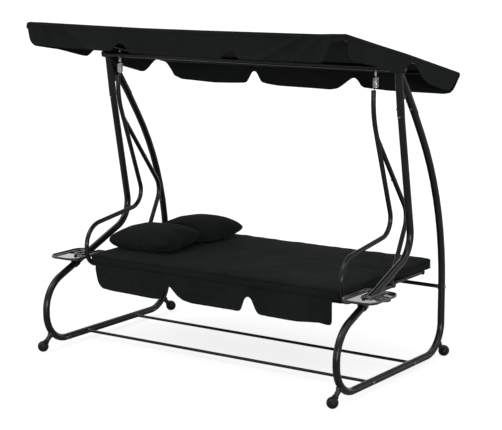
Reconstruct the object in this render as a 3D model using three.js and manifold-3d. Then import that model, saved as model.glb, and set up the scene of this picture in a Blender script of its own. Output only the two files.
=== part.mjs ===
// Canopy swing bench, folded flat as a bed. Millimetres, +Z up, X along the bench, the front faces -Y.
// The origin is on the floor, in the middle of the four ball feet.
import * as THREE from 'three';
import { mergeVertices } from 'three/addons/utils/BufferGeometryUtils.js';
import Module from 'manifold-3d';

const wasm = await Module();
wasm.setup();

// ---- driving dimensions -------------------------------------------------------------------
const GAP = 0.3; // between two pieces that touch
const JOINT_GAP = 1.2; // where two tubes meet at a slight angle
const SIDES = 12; // sides of a round section
const BEND_STEP = THREE.MathUtils.degToRad(15);
const LONGEST_BEND_STEP = 90;

// stand
const SIDE_X = 930; // centre plane of each side frame
const LEG_R = 19;
const RAIL_Z = 42;
const RAIL_HALF = 372; // the bottom rail joins the legs here
const FRONT_Y = -541;
const REAR_Y = 535;
const CORNER_BEND = 158;
const FOOT_Y = 574.6;
const FOOT_R = 30;
const FOOT_FLAT = 1; // how much of the ball is cut flat to stand on
const FOOT_STUB_R = 12.5;
const FOOT_STUB_ROOT = { y: 498, z: 91 }; // middle of the corner bend, where the stub starts
const STRETCHER_R = 8;
const FRONT_STRETCHER_Y = -209;
const REAR_STRETCHER_Y = 220;
const REAR_BAR_R = 10.5;
const REAR_BAR_Z = 390;
const HUB = { y: 30, z: 1592, r: 24 }; // top of each side frame, and the canopy's tilt axis
const FRONT_JOINT = { y: 61, z: 1372 }; // where the bracket's legs meet the posts
const REAR_JOINT = { y: 190, z: 1373 };
const FRONT_KNEE = { y: 197, z: 645, bend: 150 }; // the post turns forward here, under the tray
const FRONT_TOE = { z: 347, bend: 190 }; // and down to the floor here
const REAR_KNEE = { z: 854, bend: 1500 };
const CROSSBAR = { y: 4, z: 1594, r: 16 };

// hanging hardware
const HANG_X = 820; // centre plane of each hanger arm
const HANG_Y = -2;
const EYE = { z: 1567, ring: 7.5, wire: 2.75 };
const HOOK = { z: 1558.5, loop: 6.5, wire: 2.5 };
const COIL = { top: 1546, bottom: 1494, outer: 15, inner: 10.5 };

// seat
const ARM_R = 12.5;
const ARM_TOP = { y: -22, z: 1480 };
const SEAT_TUBE_Z = 447; // centre of the seat's and backrest's tubes
const ARM_FRONT_Y = -320;
const HINGE_Y = 187;
const RAIL_X = HANG_X - ARM_R - GAP; // half length of the tubes between the arms
const SEAT_FRONT_RAIL_Y = -250;
const SEAT_REAR_RAIL_Y = 150;
const SLING_X = 780;
const SLING_T = 2;
const CUSHION_X = 803;
const CUSHION_BOTTOM = SEAT_TUBE_Z + ARM_R + SLING_T + 2 * GAP;
const CUSHION_TOP = 515;
const CUSHION_FRONT_Y = -312;
const CUSHION_REAR_Y = 597;
const FOLD_HALF = THREE.MathUtils.degToRad(33.5); // slope of each cushion's end at the fold
const PAD_SOFT = 14; // rounding of a cushion's free edges
const SKIRT = { x: 765, y: -316, t: 3, top: 458, bottom: 330, notch: 402, notchX: 250 };
const SLEEVE = { z: 1240, y: 17 }; // the strut meets the arm here
const PILLOW = { x: -597, halfX: 196, halfZ: 62, frontY: 20, frontHalfY: 166, rearY: 394, rearHalfY: 186 };

// The arm, as [y, z, bend radius]: it hangs from its hook, passes the backrest strut, turns forward
// as the armrest and comes back under the cushion as the seat's side rail.
const ARM_CORNERS = [
  [ARM_TOP.y, ARM_TOP.z],
  [-25, 1358, 450],
  [198, 733, 93],
  [ARM_FRONT_Y, 664, 125],
  [ARM_FRONT_Y, SEAT_TUBE_Z, 85],
  [210, SEAT_TUBE_Z],
];
const STRUT_CORNERS = [
  [SLEEVE.y, SLEEVE.z],
  [351, 801, 115],
  [171, SEAT_TUBE_Z + ARM_R + 3 * GAP],
];

// backrest
const BACK_X = 790;
const BACK_LOWER_RAIL_Y = 225;
const BACK_TOP_RAIL_Y = 566;
const HINGE_PIN_R = 5;
const HINGE_HEAD = { r: 9, t: 6 };

// canopy, measured from the tilt axis, in the canopy's own plane
const CANOPY_TILT = THREE.MathUtils.degToRad(12.9); // the front is up
const CANOPY = { x: 980, front: -621.5, rear: 570.3, top: 63.1, drop: 140, skin: 3, corner: 16 };
const CANOPY_BAR_R = 9;
const CANOPY_SIDE_BAR_X = 952;
const PLATE_X = SIDE_X + LEG_R + 1; // inner face of the pivot plate
const PLATE_T = 4;
const PLATE = { lower: 22, upper: 34, hole: 4.5 }; // half widths at the pivot and at the bar
const KNOB = { r: 19, lobe: 3, lobes: 5, t: 16, screw: 4 };
const NOTCH = { x: 345, half: 62, height: 62 }; // in the front and rear valances
const SIDE_NOTCH = { y: 32, half: 72, height: 100 }; // over each side frame's top
const CORNER_GAP = { r: 62, band: 22 }; // the valance is open at each corner below a band

// trays
const TRAY = { x: 945, y: -257, z: 482, halfX: 100, halfY: 143, corner: 62, lip: 14, floor: 3, rim: 4 };
const TRAY_SLOT = { half: 22, front: -262, lobe: 24 }; // lobe: corner radius beside the slot
const CUP = { x: 1000, y: -215, r: 35, depth: 12, wall: 3 };
const CLAMP = { y: -290, outer: 24, length: 28, boss: 8 };

// ---- materials ----------------------------------------------------------------------------
const material = (color, roughness, metalness) =>
  new THREE.MeshStandardMaterial({ color, roughness, metalness });

const PAINT = material(0x101112, 0.3, 0.6);
const ZINC = material(0xb9bcc0, 0.25, 1);
const PLASTIC = material(0x0d0d0e, 0.45, 0);
const TRAY_PLASTIC = material(0x141516, 0.2, 0);
const SLING = material(0x161718, 0.85, 0);
const FABRIC = material(0x1c1e1e, 0.9, 0);

// ---- solids -------------------------------------------------------------------------------
const bench = new THREE.Group();

function add(name, geometry, surface, parent = bench) {
  const mesh = new THREE.Mesh(geometry, surface);
  mesh.name = name;
  parent.add(mesh);
  return mesh;
}

function toSolid(geometry) {
  const bare = geometry.clone();
  bare.deleteAttribute('normal');
  bare.deleteAttribute('uv');
  const merged = mergeVertices(bare, 1e-3);
  return new wasm.Manifold(
    new wasm.Mesh({
      numProp: 3,
      vertProperties: Float32Array.from(merged.attributes.position.array),
      triVerts: Uint32Array.from(merged.index.array),
    }),
  );
}

function toGeometry(solid) {
  const mesh = solid.getMesh();
  const geometry = new THREE.BufferGeometry();
  geometry.setAttribute('position', new THREE.BufferAttribute(mesh.vertProperties, 3));
  geometry.setIndex(new THREE.BufferAttribute(mesh.triVerts, 1));
  geometry.computeVertexNormals();
  return geometry;
}

// The first geometry, joined with those in joined, with those in cut taken away.
function combine(first, joined, cut) {
  let solid = toSolid(first);
  for (const other of joined) solid = solid.add(toSolid(other));
  for (const other of cut) solid = solid.subtract(toSolid(other));
  return toGeometry(solid);
}

function polygon(radius, sides = SIDES) {
  const points = [];
  for (let i = 0; i < sides; i += 1) {
    const angle = ((i + 0.5) / sides) * 2 * Math.PI;
    points.push(new THREE.Vector2(radius * Math.cos(angle), radius * Math.sin(angle)));
  }
  return new THREE.Shape(points);
}

// A path through stations, each a point with its exact direction, so a tube has a ring at each.
class StationPath extends THREE.Curve {
  constructor(stations) {
    super();
    this.stations = stations;
  }

  getPoint(t) {
    const place = t * (this.stations.length - 1);
    const i = Math.min(Math.floor(place), this.stations.length - 2);
    return this.stations[i].point.clone().lerp(this.stations[i + 1].point, place - i);
  }

  getPointAt(t) {
    return this.getPoint(t);
  }

  getTangentAt(t) {
    return this.stations[Math.round(t * (this.stations.length - 1))].direction.clone();
  }
}

// Stations along straight runs between corners (a point and a bend radius each).
function bentStations(corners) {
  const points = corners.map((corner) => corner.point);
  const last = points.length - 1;
  const run = (i) => points[i + 1].clone().sub(points[i]).normalize();
  const stations = [{ point: points[0], direction: run(0) }];
  for (let i = 1; i < last; i += 1) {
    const before = run(i - 1);
    const after = run(i);
    const turn = before.angleTo(after);
    const reach = corners[i].bend * Math.tan(turn / 2);
    const axis = before.clone().cross(after).normalize();
    const start = points[i].clone().addScaledVector(before, -reach);
    const centre = start.clone().addScaledVector(axis.clone().cross(before), corners[i].bend);
    const steps = Math.ceil(Math.max(turn / BEND_STEP, (turn * corners[i].bend) / LONGEST_BEND_STEP));
    for (let k = 0; k <= steps; k += 1) {
      const angle = (turn * k) / steps;
      stations.push({
        point: start.clone().sub(centre).applyAxisAngle(axis, angle).add(centre),
        direction: before.clone().applyAxisAngle(axis, angle),
      });
    }
  }
  stations.push({ point: points[last], direction: run(last - 1) });
  return stations;
}

function sweep(stations, radius, sides = SIDES) {
  return new THREE.ExtrudeGeometry(polygon(radius, sides), {
    steps: stations.length - 1,
    bevelEnabled: false,
    extrudePath: new StationPath(stations),
  });
}

// A bent tube in the plane x, through corners given as [y, z, bend radius].
function bentTube(x, corners, radius, sides) {
  const placed = corners.map(([y, z, bend = 0]) => ({ point: new THREE.Vector3(x, y, z), bend }));
  return sweep(bentStations(placed), radius, sides);
}

function straightTube(from, to, radius, sides) {
  const direction = to.clone().sub(from).normalize();
  return sweep([{ point: from, direction }, { point: to, direction }], radius, sides);
}

// A round bar along X between x0 and x1.
function barX(x0, x1, y, z, radius, sides) {
  return straightTube(new THREE.Vector3(x0, y, z), new THREE.Vector3(x1, y, z), radius, sides);
}

function crossTube(halfLength, y, z, radius, sides) {
  return barX(-halfLength, halfLength, y, z, radius, sides);
}

function block([x0, x1], [y0, y1], [z0, z1]) {
  const geometry = new THREE.BoxGeometry(x1 - x0, y1 - y0, z1 - z0);
  return geometry.translate((x0 + x1) / 2, (y0 + y1) / 2, (z0 + z1) / 2);
}

const SIDE_NAMES = [['left', -1], ['right', 1]];
const END_NAMES = [['front', -1], ['rear', 1]];

// ---- stand --------------------------------------------------------------------------------
// The front post leans back, turns forward under the tray and comes down to the floor.
const frontLeg = (x) => bentTube(x, [
  [FRONT_JOINT.y, FRONT_JOINT.z - JOINT_GAP],
  [FRONT_KNEE.y, FRONT_KNEE.z, FRONT_KNEE.bend],
  [FRONT_Y, FRONT_TOE.z, FRONT_TOE.bend],
  [FRONT_Y, RAIL_Z, CORNER_BEND],
  [-RAIL_HALF - GAP, RAIL_Z],
], LEG_R);

const rearLeg = (x) => bentTube(x, [
  [RAIL_HALF + GAP, RAIL_Z],
  [REAR_Y, RAIL_Z, CORNER_BEND],
  [REAR_Y, REAR_KNEE.z, REAR_KNEE.bend],
  [REAR_JOINT.y, REAR_JOINT.z - JOINT_GAP],
], LEG_R);

function topBracket(x) {
  const hub = new THREE.Vector3(x, HUB.y, HUB.z);
  const front = straightTube(new THREE.Vector3(x, FRONT_JOINT.y, FRONT_JOINT.z), hub, LEG_R);
  const rear = straightTube(new THREE.Vector3(x, REAR_JOINT.y, REAR_JOINT.z), hub, LEG_R);
  return combine(barX(x - LEG_R, x + LEG_R, HUB.y, HUB.z, HUB.r, 16), [front, rear], []);
}

// The stub leaves the corner bend and points at the middle of the ball.
function footStub(x, end) {
  const ball = new THREE.Vector3(x, end * FOOT_Y, FOOT_R - FOOT_FLAT);
  const corner = new THREE.Vector3(x, end * FOOT_STUB_ROOT.y, FOOT_STUB_ROOT.z);
  const direction = ball.clone().sub(corner).normalize();
  return straightTube(
    corner.clone().addScaledVector(direction, LEG_R + 2 * GAP),
    ball.clone().addScaledVector(direction, -FOOT_R - GAP),
    FOOT_STUB_R,
  );
}

function footBall() {
  const steps = 10;
  const lowest = Math.asin((FOOT_R - FOOT_FLAT) / FOOT_R);
  const profile = [new THREE.Vector2(0, 0)];
  for (let i = 0; i < steps; i += 1) {
    const angle = -lowest + ((Math.PI / 2 + lowest) * i) / steps;
    profile.push(new THREE.Vector2(FOOT_R * Math.cos(angle), FOOT_R - FOOT_FLAT + FOOT_R * Math.sin(angle)));
  }
  profile.push(new THREE.Vector2(0, 2 * FOOT_R - FOOT_FLAT));
  return new THREE.LatheGeometry(profile, 16).rotateX(Math.PI / 2);
}

function addStand() {
  for (const [side, sign] of SIDE_NAMES) {
    const x = sign * SIDE_X;
    add(`front_leg_${side}`, frontLeg(x), PAINT);
    add(`rear_leg_${side}`, rearLeg(x), PAINT);
    const rail = [new THREE.Vector3(x, -RAIL_HALF, RAIL_Z), new THREE.Vector3(x, RAIL_HALF, RAIL_Z)];
    add(`bottom_rail_${side}`, straightTube(...rail, LEG_R), PAINT);
    add(`top_bracket_${side}`, topBracket(x), PAINT);
    for (const [end, way] of END_NAMES) {
      add(`foot_stub_${end}_${side}`, footStub(x, way), PAINT);
      add(`ball_foot_${end}_${side}`, footBall(), PLASTIC).position.set(x, way * FOOT_Y, 0);
    }
  }
  const inside = SIDE_X - LEG_R - GAP;
  add('crossbar', crossTube(inside, CROSSBAR.y, CROSSBAR.z, CROSSBAR.r), PAINT);
  add('stretcher_front', crossTube(inside, FRONT_STRETCHER_Y, RAIL_Z, STRETCHER_R), PAINT);
  add('stretcher_rear', crossTube(inside, REAR_STRETCHER_Y, RAIL_Z, STRETCHER_R), PAINT);
  add('rear_bar', crossTube(inside, REAR_Y, REAR_BAR_Z, REAR_BAR_R), PAINT);
}

// ---- trays --------------------------------------------------------------------------------
// The tray's outline, drawn for the right side, moved inwards by inset. A slot lets the post through.
function trayOutline(inset) {
  const x0 = TRAY.x - TRAY.halfX + inset;
  const x1 = TRAY.x + TRAY.halfX - inset;
  const y0 = TRAY.y - TRAY.halfY + inset;
  const y1 = TRAY.y + TRAY.halfY - inset;
  const r = TRAY.corner - inset;
  const slot = TRAY_SLOT.half + inset;
  const lobe = TRAY_SLOT.lobe - inset;
  const shape = new THREE.Shape();
  shape.moveTo(x0 + r, y0);
  shape.lineTo(x1 - r, y0);
  shape.absarc(x1 - r, y0 + r, r, -Math.PI / 2, 0, false);
  shape.lineTo(x1, y1 - r);
  shape.absarc(x1 - r, y1 - r, r, 0, Math.PI / 2, false);
  shape.lineTo(SIDE_X + slot, y1);
  shape.lineTo(SIDE_X + slot, TRAY_SLOT.front - inset);
  shape.lineTo(SIDE_X - slot, TRAY_SLOT.front - inset);
  shape.lineTo(SIDE_X - slot, y1);
  shape.lineTo(x0 + lobe, y1);
  shape.absarc(x0 + lobe, y1 - lobe, lobe, Math.PI / 2, Math.PI, false);
  shape.lineTo(x0, y0 + r);
  shape.absarc(x0 + r, y0 + r, r, Math.PI, 1.5 * Math.PI, false);
  return shape;
}

function slab(shape, z0, z1, curveSegments = 5) {
  const geometry = new THREE.ExtrudeGeometry(shape, { depth: z1 - z0, bevelEnabled: false, curveSegments });
  return geometry.translate(0, 0, z0);
}

function uprightRod(x, y, z0, z1, radius, sides = 16) {
  return slab(polygon(radius, sides), z0, z1).translate(x, y, 0);
}

function tray() {
  const top = TRAY.z + TRAY.lip;
  const cupFloor = TRAY.z - CUP.depth;
  const boss = uprightRod(SIDE_X, CLAMP.y, TRAY.z - 6, TRAY.z + 1, CLAMP.boss);
  const cup = uprightRod(CUP.x, CUP.y, cupFloor, TRAY.z + 1, CUP.r + CUP.wall);
  const pocket = slab(trayOutline(TRAY.rim), TRAY.z + TRAY.floor, top + 1);
  const cupHole = uprightRod(CUP.x, CUP.y, cupFloor + CUP.wall, top + 1, CUP.r);
  return combine(slab(trayOutline(0), TRAY.z, top), [boss, cup], [pocket, cupHole]);
}

// A clip around the post, under the tray's boss.
function trayClamp() {
  const inner = LEG_R + 1;
  const half = CLAMP.length / 2;
  const corners = [[inner, -half], [CLAMP.outer, -half], [CLAMP.outer, half], [inner, half], [inner, -half]];
  const ring = new THREE.LatheGeometry(corners.map(([r, along]) => new THREE.Vector2(r, along)), 16);
  const slope = Math.atan2(FRONT_KNEE.z - FRONT_TOE.z, FRONT_KNEE.y - FRONT_Y);
  const z = FRONT_KNEE.z + (CLAMP.y - FRONT_KNEE.y) * Math.tan(slope);
  return ring.rotateX(slope).translate(0, CLAMP.y, z);
}

function addTrays() {
  add('tray_right', tray(), TRAY_PLASTIC);
  const mirrored = toGeometry(toSolid(tray()).mirror([1, 0, 0]));
  add('tray_left', mirrored, TRAY_PLASTIC);
  for (const [side, sign] of SIDE_NAMES) {
    add(`tray_clamp_${side}`, trayClamp(), PLASTIC).position.x = sign * SIDE_X;
  }
}

// ---- hanging hardware ---------------------------------------------------------------------
function ringProfile(radius, wire, steps = 8) {
  const profile = [];
  for (let i = 0; i <= steps; i += 1) {
    const angle = (-2 * Math.PI * i) / steps;
    profile.push(new THREE.Vector2(radius + wire * Math.cos(angle), wire * Math.sin(angle)));
  }
  return profile.reverse();
}

// An open loop over the eye's lower wire, with a shank down to the coil.
function topHook() {
  const stations = [];
  const steps = 10;
  for (let i = 0; i <= steps; i += 1) {
    const angle = THREE.MathUtils.degToRad(250 - (270 * i) / steps);
    const [c, s] = [Math.cos(angle), Math.sin(angle)];
    stations.push({
      point: new THREE.Vector3(0, HOOK.loop * c, HOOK.z + HOOK.loop * s),
      direction: new THREE.Vector3(0, s, -c),
    });
  }
  const down = new THREE.Vector3(0, -0.2, -1).normalize();
  stations.push({ point: new THREE.Vector3(0, 3, COIL.top + GAP), direction: down });
  return sweep(stations, HOOK.wire, 8);
}

function bottomHook() {
  const from = new THREE.Vector3(0, -11, COIL.bottom - GAP);
  const to = new THREE.Vector3(0, ARM_TOP.y - HANG_Y, ARM_TOP.z + GAP);
  const direction = new THREE.Vector3(0, 0, -1);
  return sweep([{ point: from, direction }, { point: to, direction }], HOOK.wire, 8);
}

function addHangers() {
  for (const [side, sign] of SIDE_NAMES) {
    const x = sign * HANG_X;
    const eye = new THREE.LatheGeometry(ringProfile(EYE.ring, EYE.wire), 16);
    add(`eye_bolt_${side}`, eye, ZINC).position.set(x, HANG_Y, EYE.z);
    add(`spring_hook_top_${side}`, topHook(), ZINC).position.set(x, HANG_Y, 0);
    add(`spring_${side}`, uprightRing(), ZINC).position.set(x, HANG_Y, 0);
    add(`spring_hook_bottom_${side}`, bottomHook(), ZINC).position.set(x, HANG_Y, 0);
  }
}

function uprightRing() {
  const outer = uprightRod(0, 0, COIL.bottom, COIL.top, COIL.outer);
  const inner = uprightRod(0, 0, COIL.bottom - 1, COIL.top + 1, COIL.inner);
  return combine(outer, [], [inner]);
}

// ---- seat ---------------------------------------------------------------------------------
function hangerArm(x) {
  const hole = barX(x - 2 * ARM_R, x + 2 * ARM_R, HINGE_Y, SEAT_TUBE_Z, HINGE_PIN_R + GAP);
  return combine(bentTube(x, ARM_CORNERS, ARM_R), [], [hole]);
}

function backStrut(x) {
  return combine(bentTube(x, STRUT_CORNERS, ARM_R), [], [bentTube(x, ARM_CORNERS, ARM_R + GAP)]);
}

// A cushion's cross-section: a flat pad whose end at the fold slopes away from the hinge.
function padSection(outerY, way) {
  const low = CUSHION_BOTTOM - SEAT_TUBE_Z;
  const high = CUSHION_TOP - SEAT_TUBE_Z;
  const foldAt = (height) => HINGE_Y + way * (height * Math.tan(FOLD_HALF) + 1);
  const shape = new THREE.Shape();
  shape.moveTo(foldAt(low), CUSHION_BOTTOM);
  shape.lineTo(foldAt(high), CUSHION_TOP);
  shape.lineTo(outerY - way * PAD_SOFT, CUSHION_TOP);
  shape.quadraticCurveTo(outerY, CUSHION_TOP, outerY, CUSHION_TOP - PAD_SOFT);
  shape.lineTo(outerY, CUSHION_BOTTOM + PAD_SOFT);
  shape.quadraticCurveTo(outerY, CUSHION_BOTTOM, outerY - way * PAD_SOFT, CUSHION_BOTTOM);
  return shape;
}

function pad(outerY, way) {
  const geometry = new THREE.ExtrudeGeometry(padSection(outerY, way), {
    depth: 2 * CUSHION_X,
    bevelEnabled: false,
    curveSegments: 3,
  });
  return geometry.applyMatrix4(new THREE.Matrix4().makeBasis(
    new THREE.Vector3(0, 1, 0),
    new THREE.Vector3(0, 0, 1),
    new THREE.Vector3(1, 0, 0),
  )).translate(-CUSHION_X, 0, 0);
}

// The skirt: three flaps with round corners, open between them. Each notch is given from its
// centre and the flaps' lower edge.
function skirtOutline() {
  const { x, top, bottom, notch, notchX } = SKIRT;
  const rise = notch - bottom;
  const notchEdge = [[-90, 0], [-50, 18], [-22, rise], [12, rise], [50, 26], [110, 0]];
  const edge = [[-x, top], [-x, bottom + 70], [-x + 45, bottom]];
  for (const centre of [-notchX, notchX]) {
    edge.push(...notchEdge.map(([along, up]) => [centre + along, bottom + up]));
  }
  edge.push([x - 12, bottom], [x, bottom + 14], [x, top]);
  return new THREE.Shape(edge.map(([px, pz]) => new THREE.Vector2(px, pz)));
}

function skirt() {
  const flat = new THREE.ExtrudeGeometry(skirtOutline(), { depth: SKIRT.t, bevelEnabled: false });
  return flat.rotateX(Math.PI / 2).translate(0, SKIRT.y + SKIRT.t / 2, 0);
}

const round = (value, power) => Math.sign(value) * Math.abs(value) ** power;

// A plump pillow: a ball pressed towards a box.
function pillow(halfX, halfY, halfZ) {
  const geometry = new THREE.SphereGeometry(1, 16, 10).rotateX(Math.PI / 2);
  const position = geometry.attributes.position;
  for (let i = 0; i < position.count; i += 1) {
    position.setXYZ(
      i,
      halfX * round(position.getX(i), 0.6),
      halfY * round(position.getY(i), 0.6),
      halfZ * round(position.getZ(i), 0.9),
    );
  }
  return geometry;
}

function addSeat() {
  for (const [side, sign] of SIDE_NAMES) {
    add(`hanger_arm_${side}`, hangerArm(sign * HANG_X), PAINT);
    add(`back_strut_${side}`, backStrut(sign * HANG_X), PAINT);
    add(`hinge_bolt_${side}`, hingeBolt(sign), ZINC);
  }
  add('seat_front_rail', crossTube(RAIL_X, SEAT_FRONT_RAIL_Y, SEAT_TUBE_Z, ARM_R), PAINT);
  add('seat_rear_rail', crossTube(RAIL_X, SEAT_REAR_RAIL_Y, SEAT_TUBE_Z, ARM_R), PAINT);
  add('seat_sling', slingSheet(SEAT_FRONT_RAIL_Y - ARM_R, SEAT_REAR_RAIL_Y + ARM_R), SLING);
  add('seat_cushion', pad(CUSHION_FRONT_Y, -1), FABRIC);
  add('seat_skirt', skirt(), FABRIC);
  const z = CUSHION_TOP + PILLOW.halfZ + GAP;
  add('pillow_front', pillow(PILLOW.halfX, PILLOW.frontHalfY, PILLOW.halfZ), FABRIC)
    .position.set(PILLOW.x, PILLOW.frontY, z);
}

function slingSheet(y0, y1) {
  const bottom = SEAT_TUBE_Z + ARM_R + GAP;
  return block([-SLING_X, SLING_X], [y0, y1], [bottom, bottom + SLING_T]);
}

// The bolt on which the backrest's side rail turns, with its head outside the arm.
function hingeBolt(sign) {
  const inner = BACK_X - ARM_R - 6;
  const outer = HANG_X + ARM_R + GAP;
  const shank = barX(sign * inner, sign * (outer + 1), HINGE_Y, SEAT_TUBE_Z, HINGE_PIN_R);
  const head = barX(sign * outer, sign * (outer + HINGE_HEAD.t), HINGE_Y, SEAT_TUBE_Z, HINGE_HEAD.r, 6);
  return combine(shank, [head], []);
}

// ---- backrest -----------------------------------------------------------------------------
function backSideRail(x) {
  const from = new THREE.Vector3(x, HINGE_Y - ARM_R, SEAT_TUBE_Z);
  const to = new THREE.Vector3(x, BACK_TOP_RAIL_Y - ARM_R - GAP, SEAT_TUBE_Z);
  const hole = barX(x - 2 * ARM_R, x + 2 * ARM_R, HINGE_Y, SEAT_TUBE_Z, HINGE_PIN_R + GAP);
  return combine(straightTube(from, to, ARM_R), [], [hole]);
}

function addBackrest() {
  for (const [side, sign] of SIDE_NAMES) {
    add(`backrest_side_rail_${side}`, backSideRail(sign * BACK_X), PAINT);
  }
  const between = BACK_X - ARM_R - GAP;
  add('backrest_lower_rail', crossTube(between, BACK_LOWER_RAIL_Y, SEAT_TUBE_Z, ARM_R), PAINT);
  add('backrest_top_rail', crossTube(BACK_X + ARM_R, BACK_TOP_RAIL_Y, SEAT_TUBE_Z, ARM_R), PAINT);
  add('backrest_sling', slingSheet(BACK_LOWER_RAIL_Y - ARM_R, BACK_TOP_RAIL_Y + ARM_R), SLING);
  add('backrest_cushion', pad(CUSHION_REAR_Y, 1), FABRIC);
  const z = CUSHION_TOP + PILLOW.halfZ + GAP;
  add('pillow_rear', pillow(PILLOW.halfX, PILLOW.rearHalfY, PILLOW.halfZ), FABRIC)
    .position.set(PILLOW.x, PILLOW.rearY, z);
}

// ---- canopy -------------------------------------------------------------------------------
function roundedPlan(inset) {
  const x = CANOPY.x - inset;
  const [y0, y1] = [CANOPY.front + inset, CANOPY.rear - inset];
  const r = CANOPY.corner - inset;
  const shape = new THREE.Shape();
  shape.moveTo(-x + r, y0);
  shape.lineTo(x - r, y0);
  shape.absarc(x - r, y0 + r, r, -Math.PI / 2, 0, false);
  shape.lineTo(x, y1 - r);
  shape.absarc(x - r, y1 - r, r, 0, Math.PI / 2, false);
  shape.lineTo(-x + r, y1);
  shape.absarc(-x + r, y1 - r, r, Math.PI / 2, Math.PI, false);
  shape.lineTo(-x, y0 + r);
  shape.absarc(-x + r, y0 + r, r, Math.PI, 1.5 * Math.PI, false);
  return shape;
}

// An arch standing on the valance's lower edge: a half ellipse, extruded along Y.
function arch(halfWidth, height, depth) {
  const shape = new THREE.Shape();
  shape.absellipse(0, 0, halfWidth, height, 0, 2 * Math.PI, false);
  return new THREE.ExtrudeGeometry(shape, { depth, bevelEnabled: false, curveSegments: 10 })
    .translate(0, 0, -depth / 2)
    .rotateX(Math.PI / 2);
}

function canopyFabric() {
  const low = CANOPY.top - CANOPY.drop;
  const middle = (CANOPY.front + CANOPY.rear) / 2;
  const through = CANOPY.rear - CANOPY.front + 100;
  const cuts = [slab(roundedPlan(CANOPY.skin), low - 1, CANOPY.top - CANOPY.skin, 3)];
  for (const sign of [-1, 1]) {
    cuts.push(arch(NOTCH.half, NOTCH.height, through).translate(sign * NOTCH.x, middle, low));
    for (const y of [CANOPY.front, CANOPY.rear]) {
      const top = CANOPY.top - CORNER_GAP.band;
      cuts.push(uprightRod(sign * CANOPY.x, y, low - 1, top, CORNER_GAP.r, 12));
    }
  }
  const sideArch = arch(SIDE_NOTCH.half, SIDE_NOTCH.height, 2 * CANOPY.x + 100);
  cuts.push(sideArch.rotateZ(Math.PI / 2).translate(0, SIDE_NOTCH.y, low));
  return combine(slab(roundedPlan(0), low, CANOPY.top, 3), [], cuts);
}

// The plate that hangs from the side bar and turns on the side frame's hub.
function pivotPlate(x) {
  const top = CANOPY.top - CANOPY.skin - 2 * CANOPY_BAR_R - 2 * GAP;
  const shape = new THREE.Shape();
  shape.moveTo(-PLATE.lower, 0);
  shape.absarc(0, 0, PLATE.lower, Math.PI, 2 * Math.PI, false);
  shape.lineTo(PLATE.upper, top);
  shape.lineTo(-PLATE.upper, top);
  const hole = new THREE.Path();
  hole.absarc(0, 0, PLATE.hole, 0, 2 * Math.PI, true);
  shape.holes.push(hole);
  const flat = new THREE.ExtrudeGeometry(shape, { depth: PLATE_T, bevelEnabled: false, curveSegments: 8 });
  return flat.applyMatrix4(new THREE.Matrix4().makeBasis(
    new THREE.Vector3(0, 1, 0),
    new THREE.Vector3(0, 0, 1),
    new THREE.Vector3(1, 0, 0),
  )).translate(x, 0, 0);
}

// A five-lobed hand knob on a short screw, its axis along X.
function knob(sign) {
  const shape = new THREE.Shape();
  const steps = 40;
  for (let i = 0; i < steps; i += 1) {
    const angle = (i / steps) * 2 * Math.PI;
    const radius = KNOB.r + KNOB.lobe * Math.cos(KNOB.lobes * angle);
    const [y, z] = [radius * Math.cos(angle), radius * Math.sin(angle)];
    if (i === 0) shape.moveTo(y, z);
    else shape.lineTo(y, z);
  }
  const inner = PLATE_X + PLATE_T + GAP;
  const head = new THREE.ExtrudeGeometry(shape, { depth: KNOB.t, bevelEnabled: false })
    .rotateY(Math.PI / 2)
    .translate(inner, 0, 0);
  const whole = combine(head, [barX(PLATE_X - 0.5, inner + 1, 0, 0, KNOB.screw)], []);
  return sign > 0 ? whole : toGeometry(toSolid(whole).mirror([1, 0, 0]));
}

function addCanopy() {
  const canopy = new THREE.Group();
  canopy.position.set(0, HUB.y, HUB.z);
  canopy.rotation.x = -CANOPY_TILT;
  bench.add(canopy);
  const barZ = CANOPY.top - CANOPY.skin - CANOPY_BAR_R - GAP;
  const frontY = CANOPY.front + CANOPY.skin + CANOPY_BAR_R + 1;
  const rearY = CANOPY.rear - CANOPY.skin - CANOPY_BAR_R - 1;
  const barX0 = CANOPY_SIDE_BAR_X + CANOPY_BAR_R;
  add('canopy_front_bar', crossTube(barX0, frontY, barZ, CANOPY_BAR_R), PAINT, canopy);
  add('canopy_rear_bar', crossTube(barX0, rearY, barZ, CANOPY_BAR_R), PAINT, canopy);
  for (const [side, sign] of SIDE_NAMES) {
    const x = sign * CANOPY_SIDE_BAR_X;
    const from = new THREE.Vector3(x, frontY + CANOPY_BAR_R + GAP, barZ);
    const to = new THREE.Vector3(x, rearY - CANOPY_BAR_R - GAP, barZ);
    add(`canopy_side_bar_${side}`, straightTube(from, to, CANOPY_BAR_R), PAINT, canopy);
    const plateX = sign > 0 ? PLATE_X : -PLATE_X - PLATE_T;
    add(`canopy_pivot_plate_${side}`, pivotPlate(plateX), PAINT, canopy);
    add(`canopy_knob_${side}`, knob(sign), PLASTIC, canopy);
  }
  add('canopy_fabric', canopyFabric(), FABRIC, canopy);
}

addStand();
addTrays();
addHangers();
addSeat();
addBackrest();
addCanopy();

export default bench;
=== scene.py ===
"""Canopy swing bench, folded flat as a bed: the looks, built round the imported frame.

Metres, +Z up, X along the bench, the front faces -Y, the floor is z = 0.
"""
import math

import bmesh
import bpy
import numpy as np
from mathutils import Matrix, Vector, noise


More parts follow.
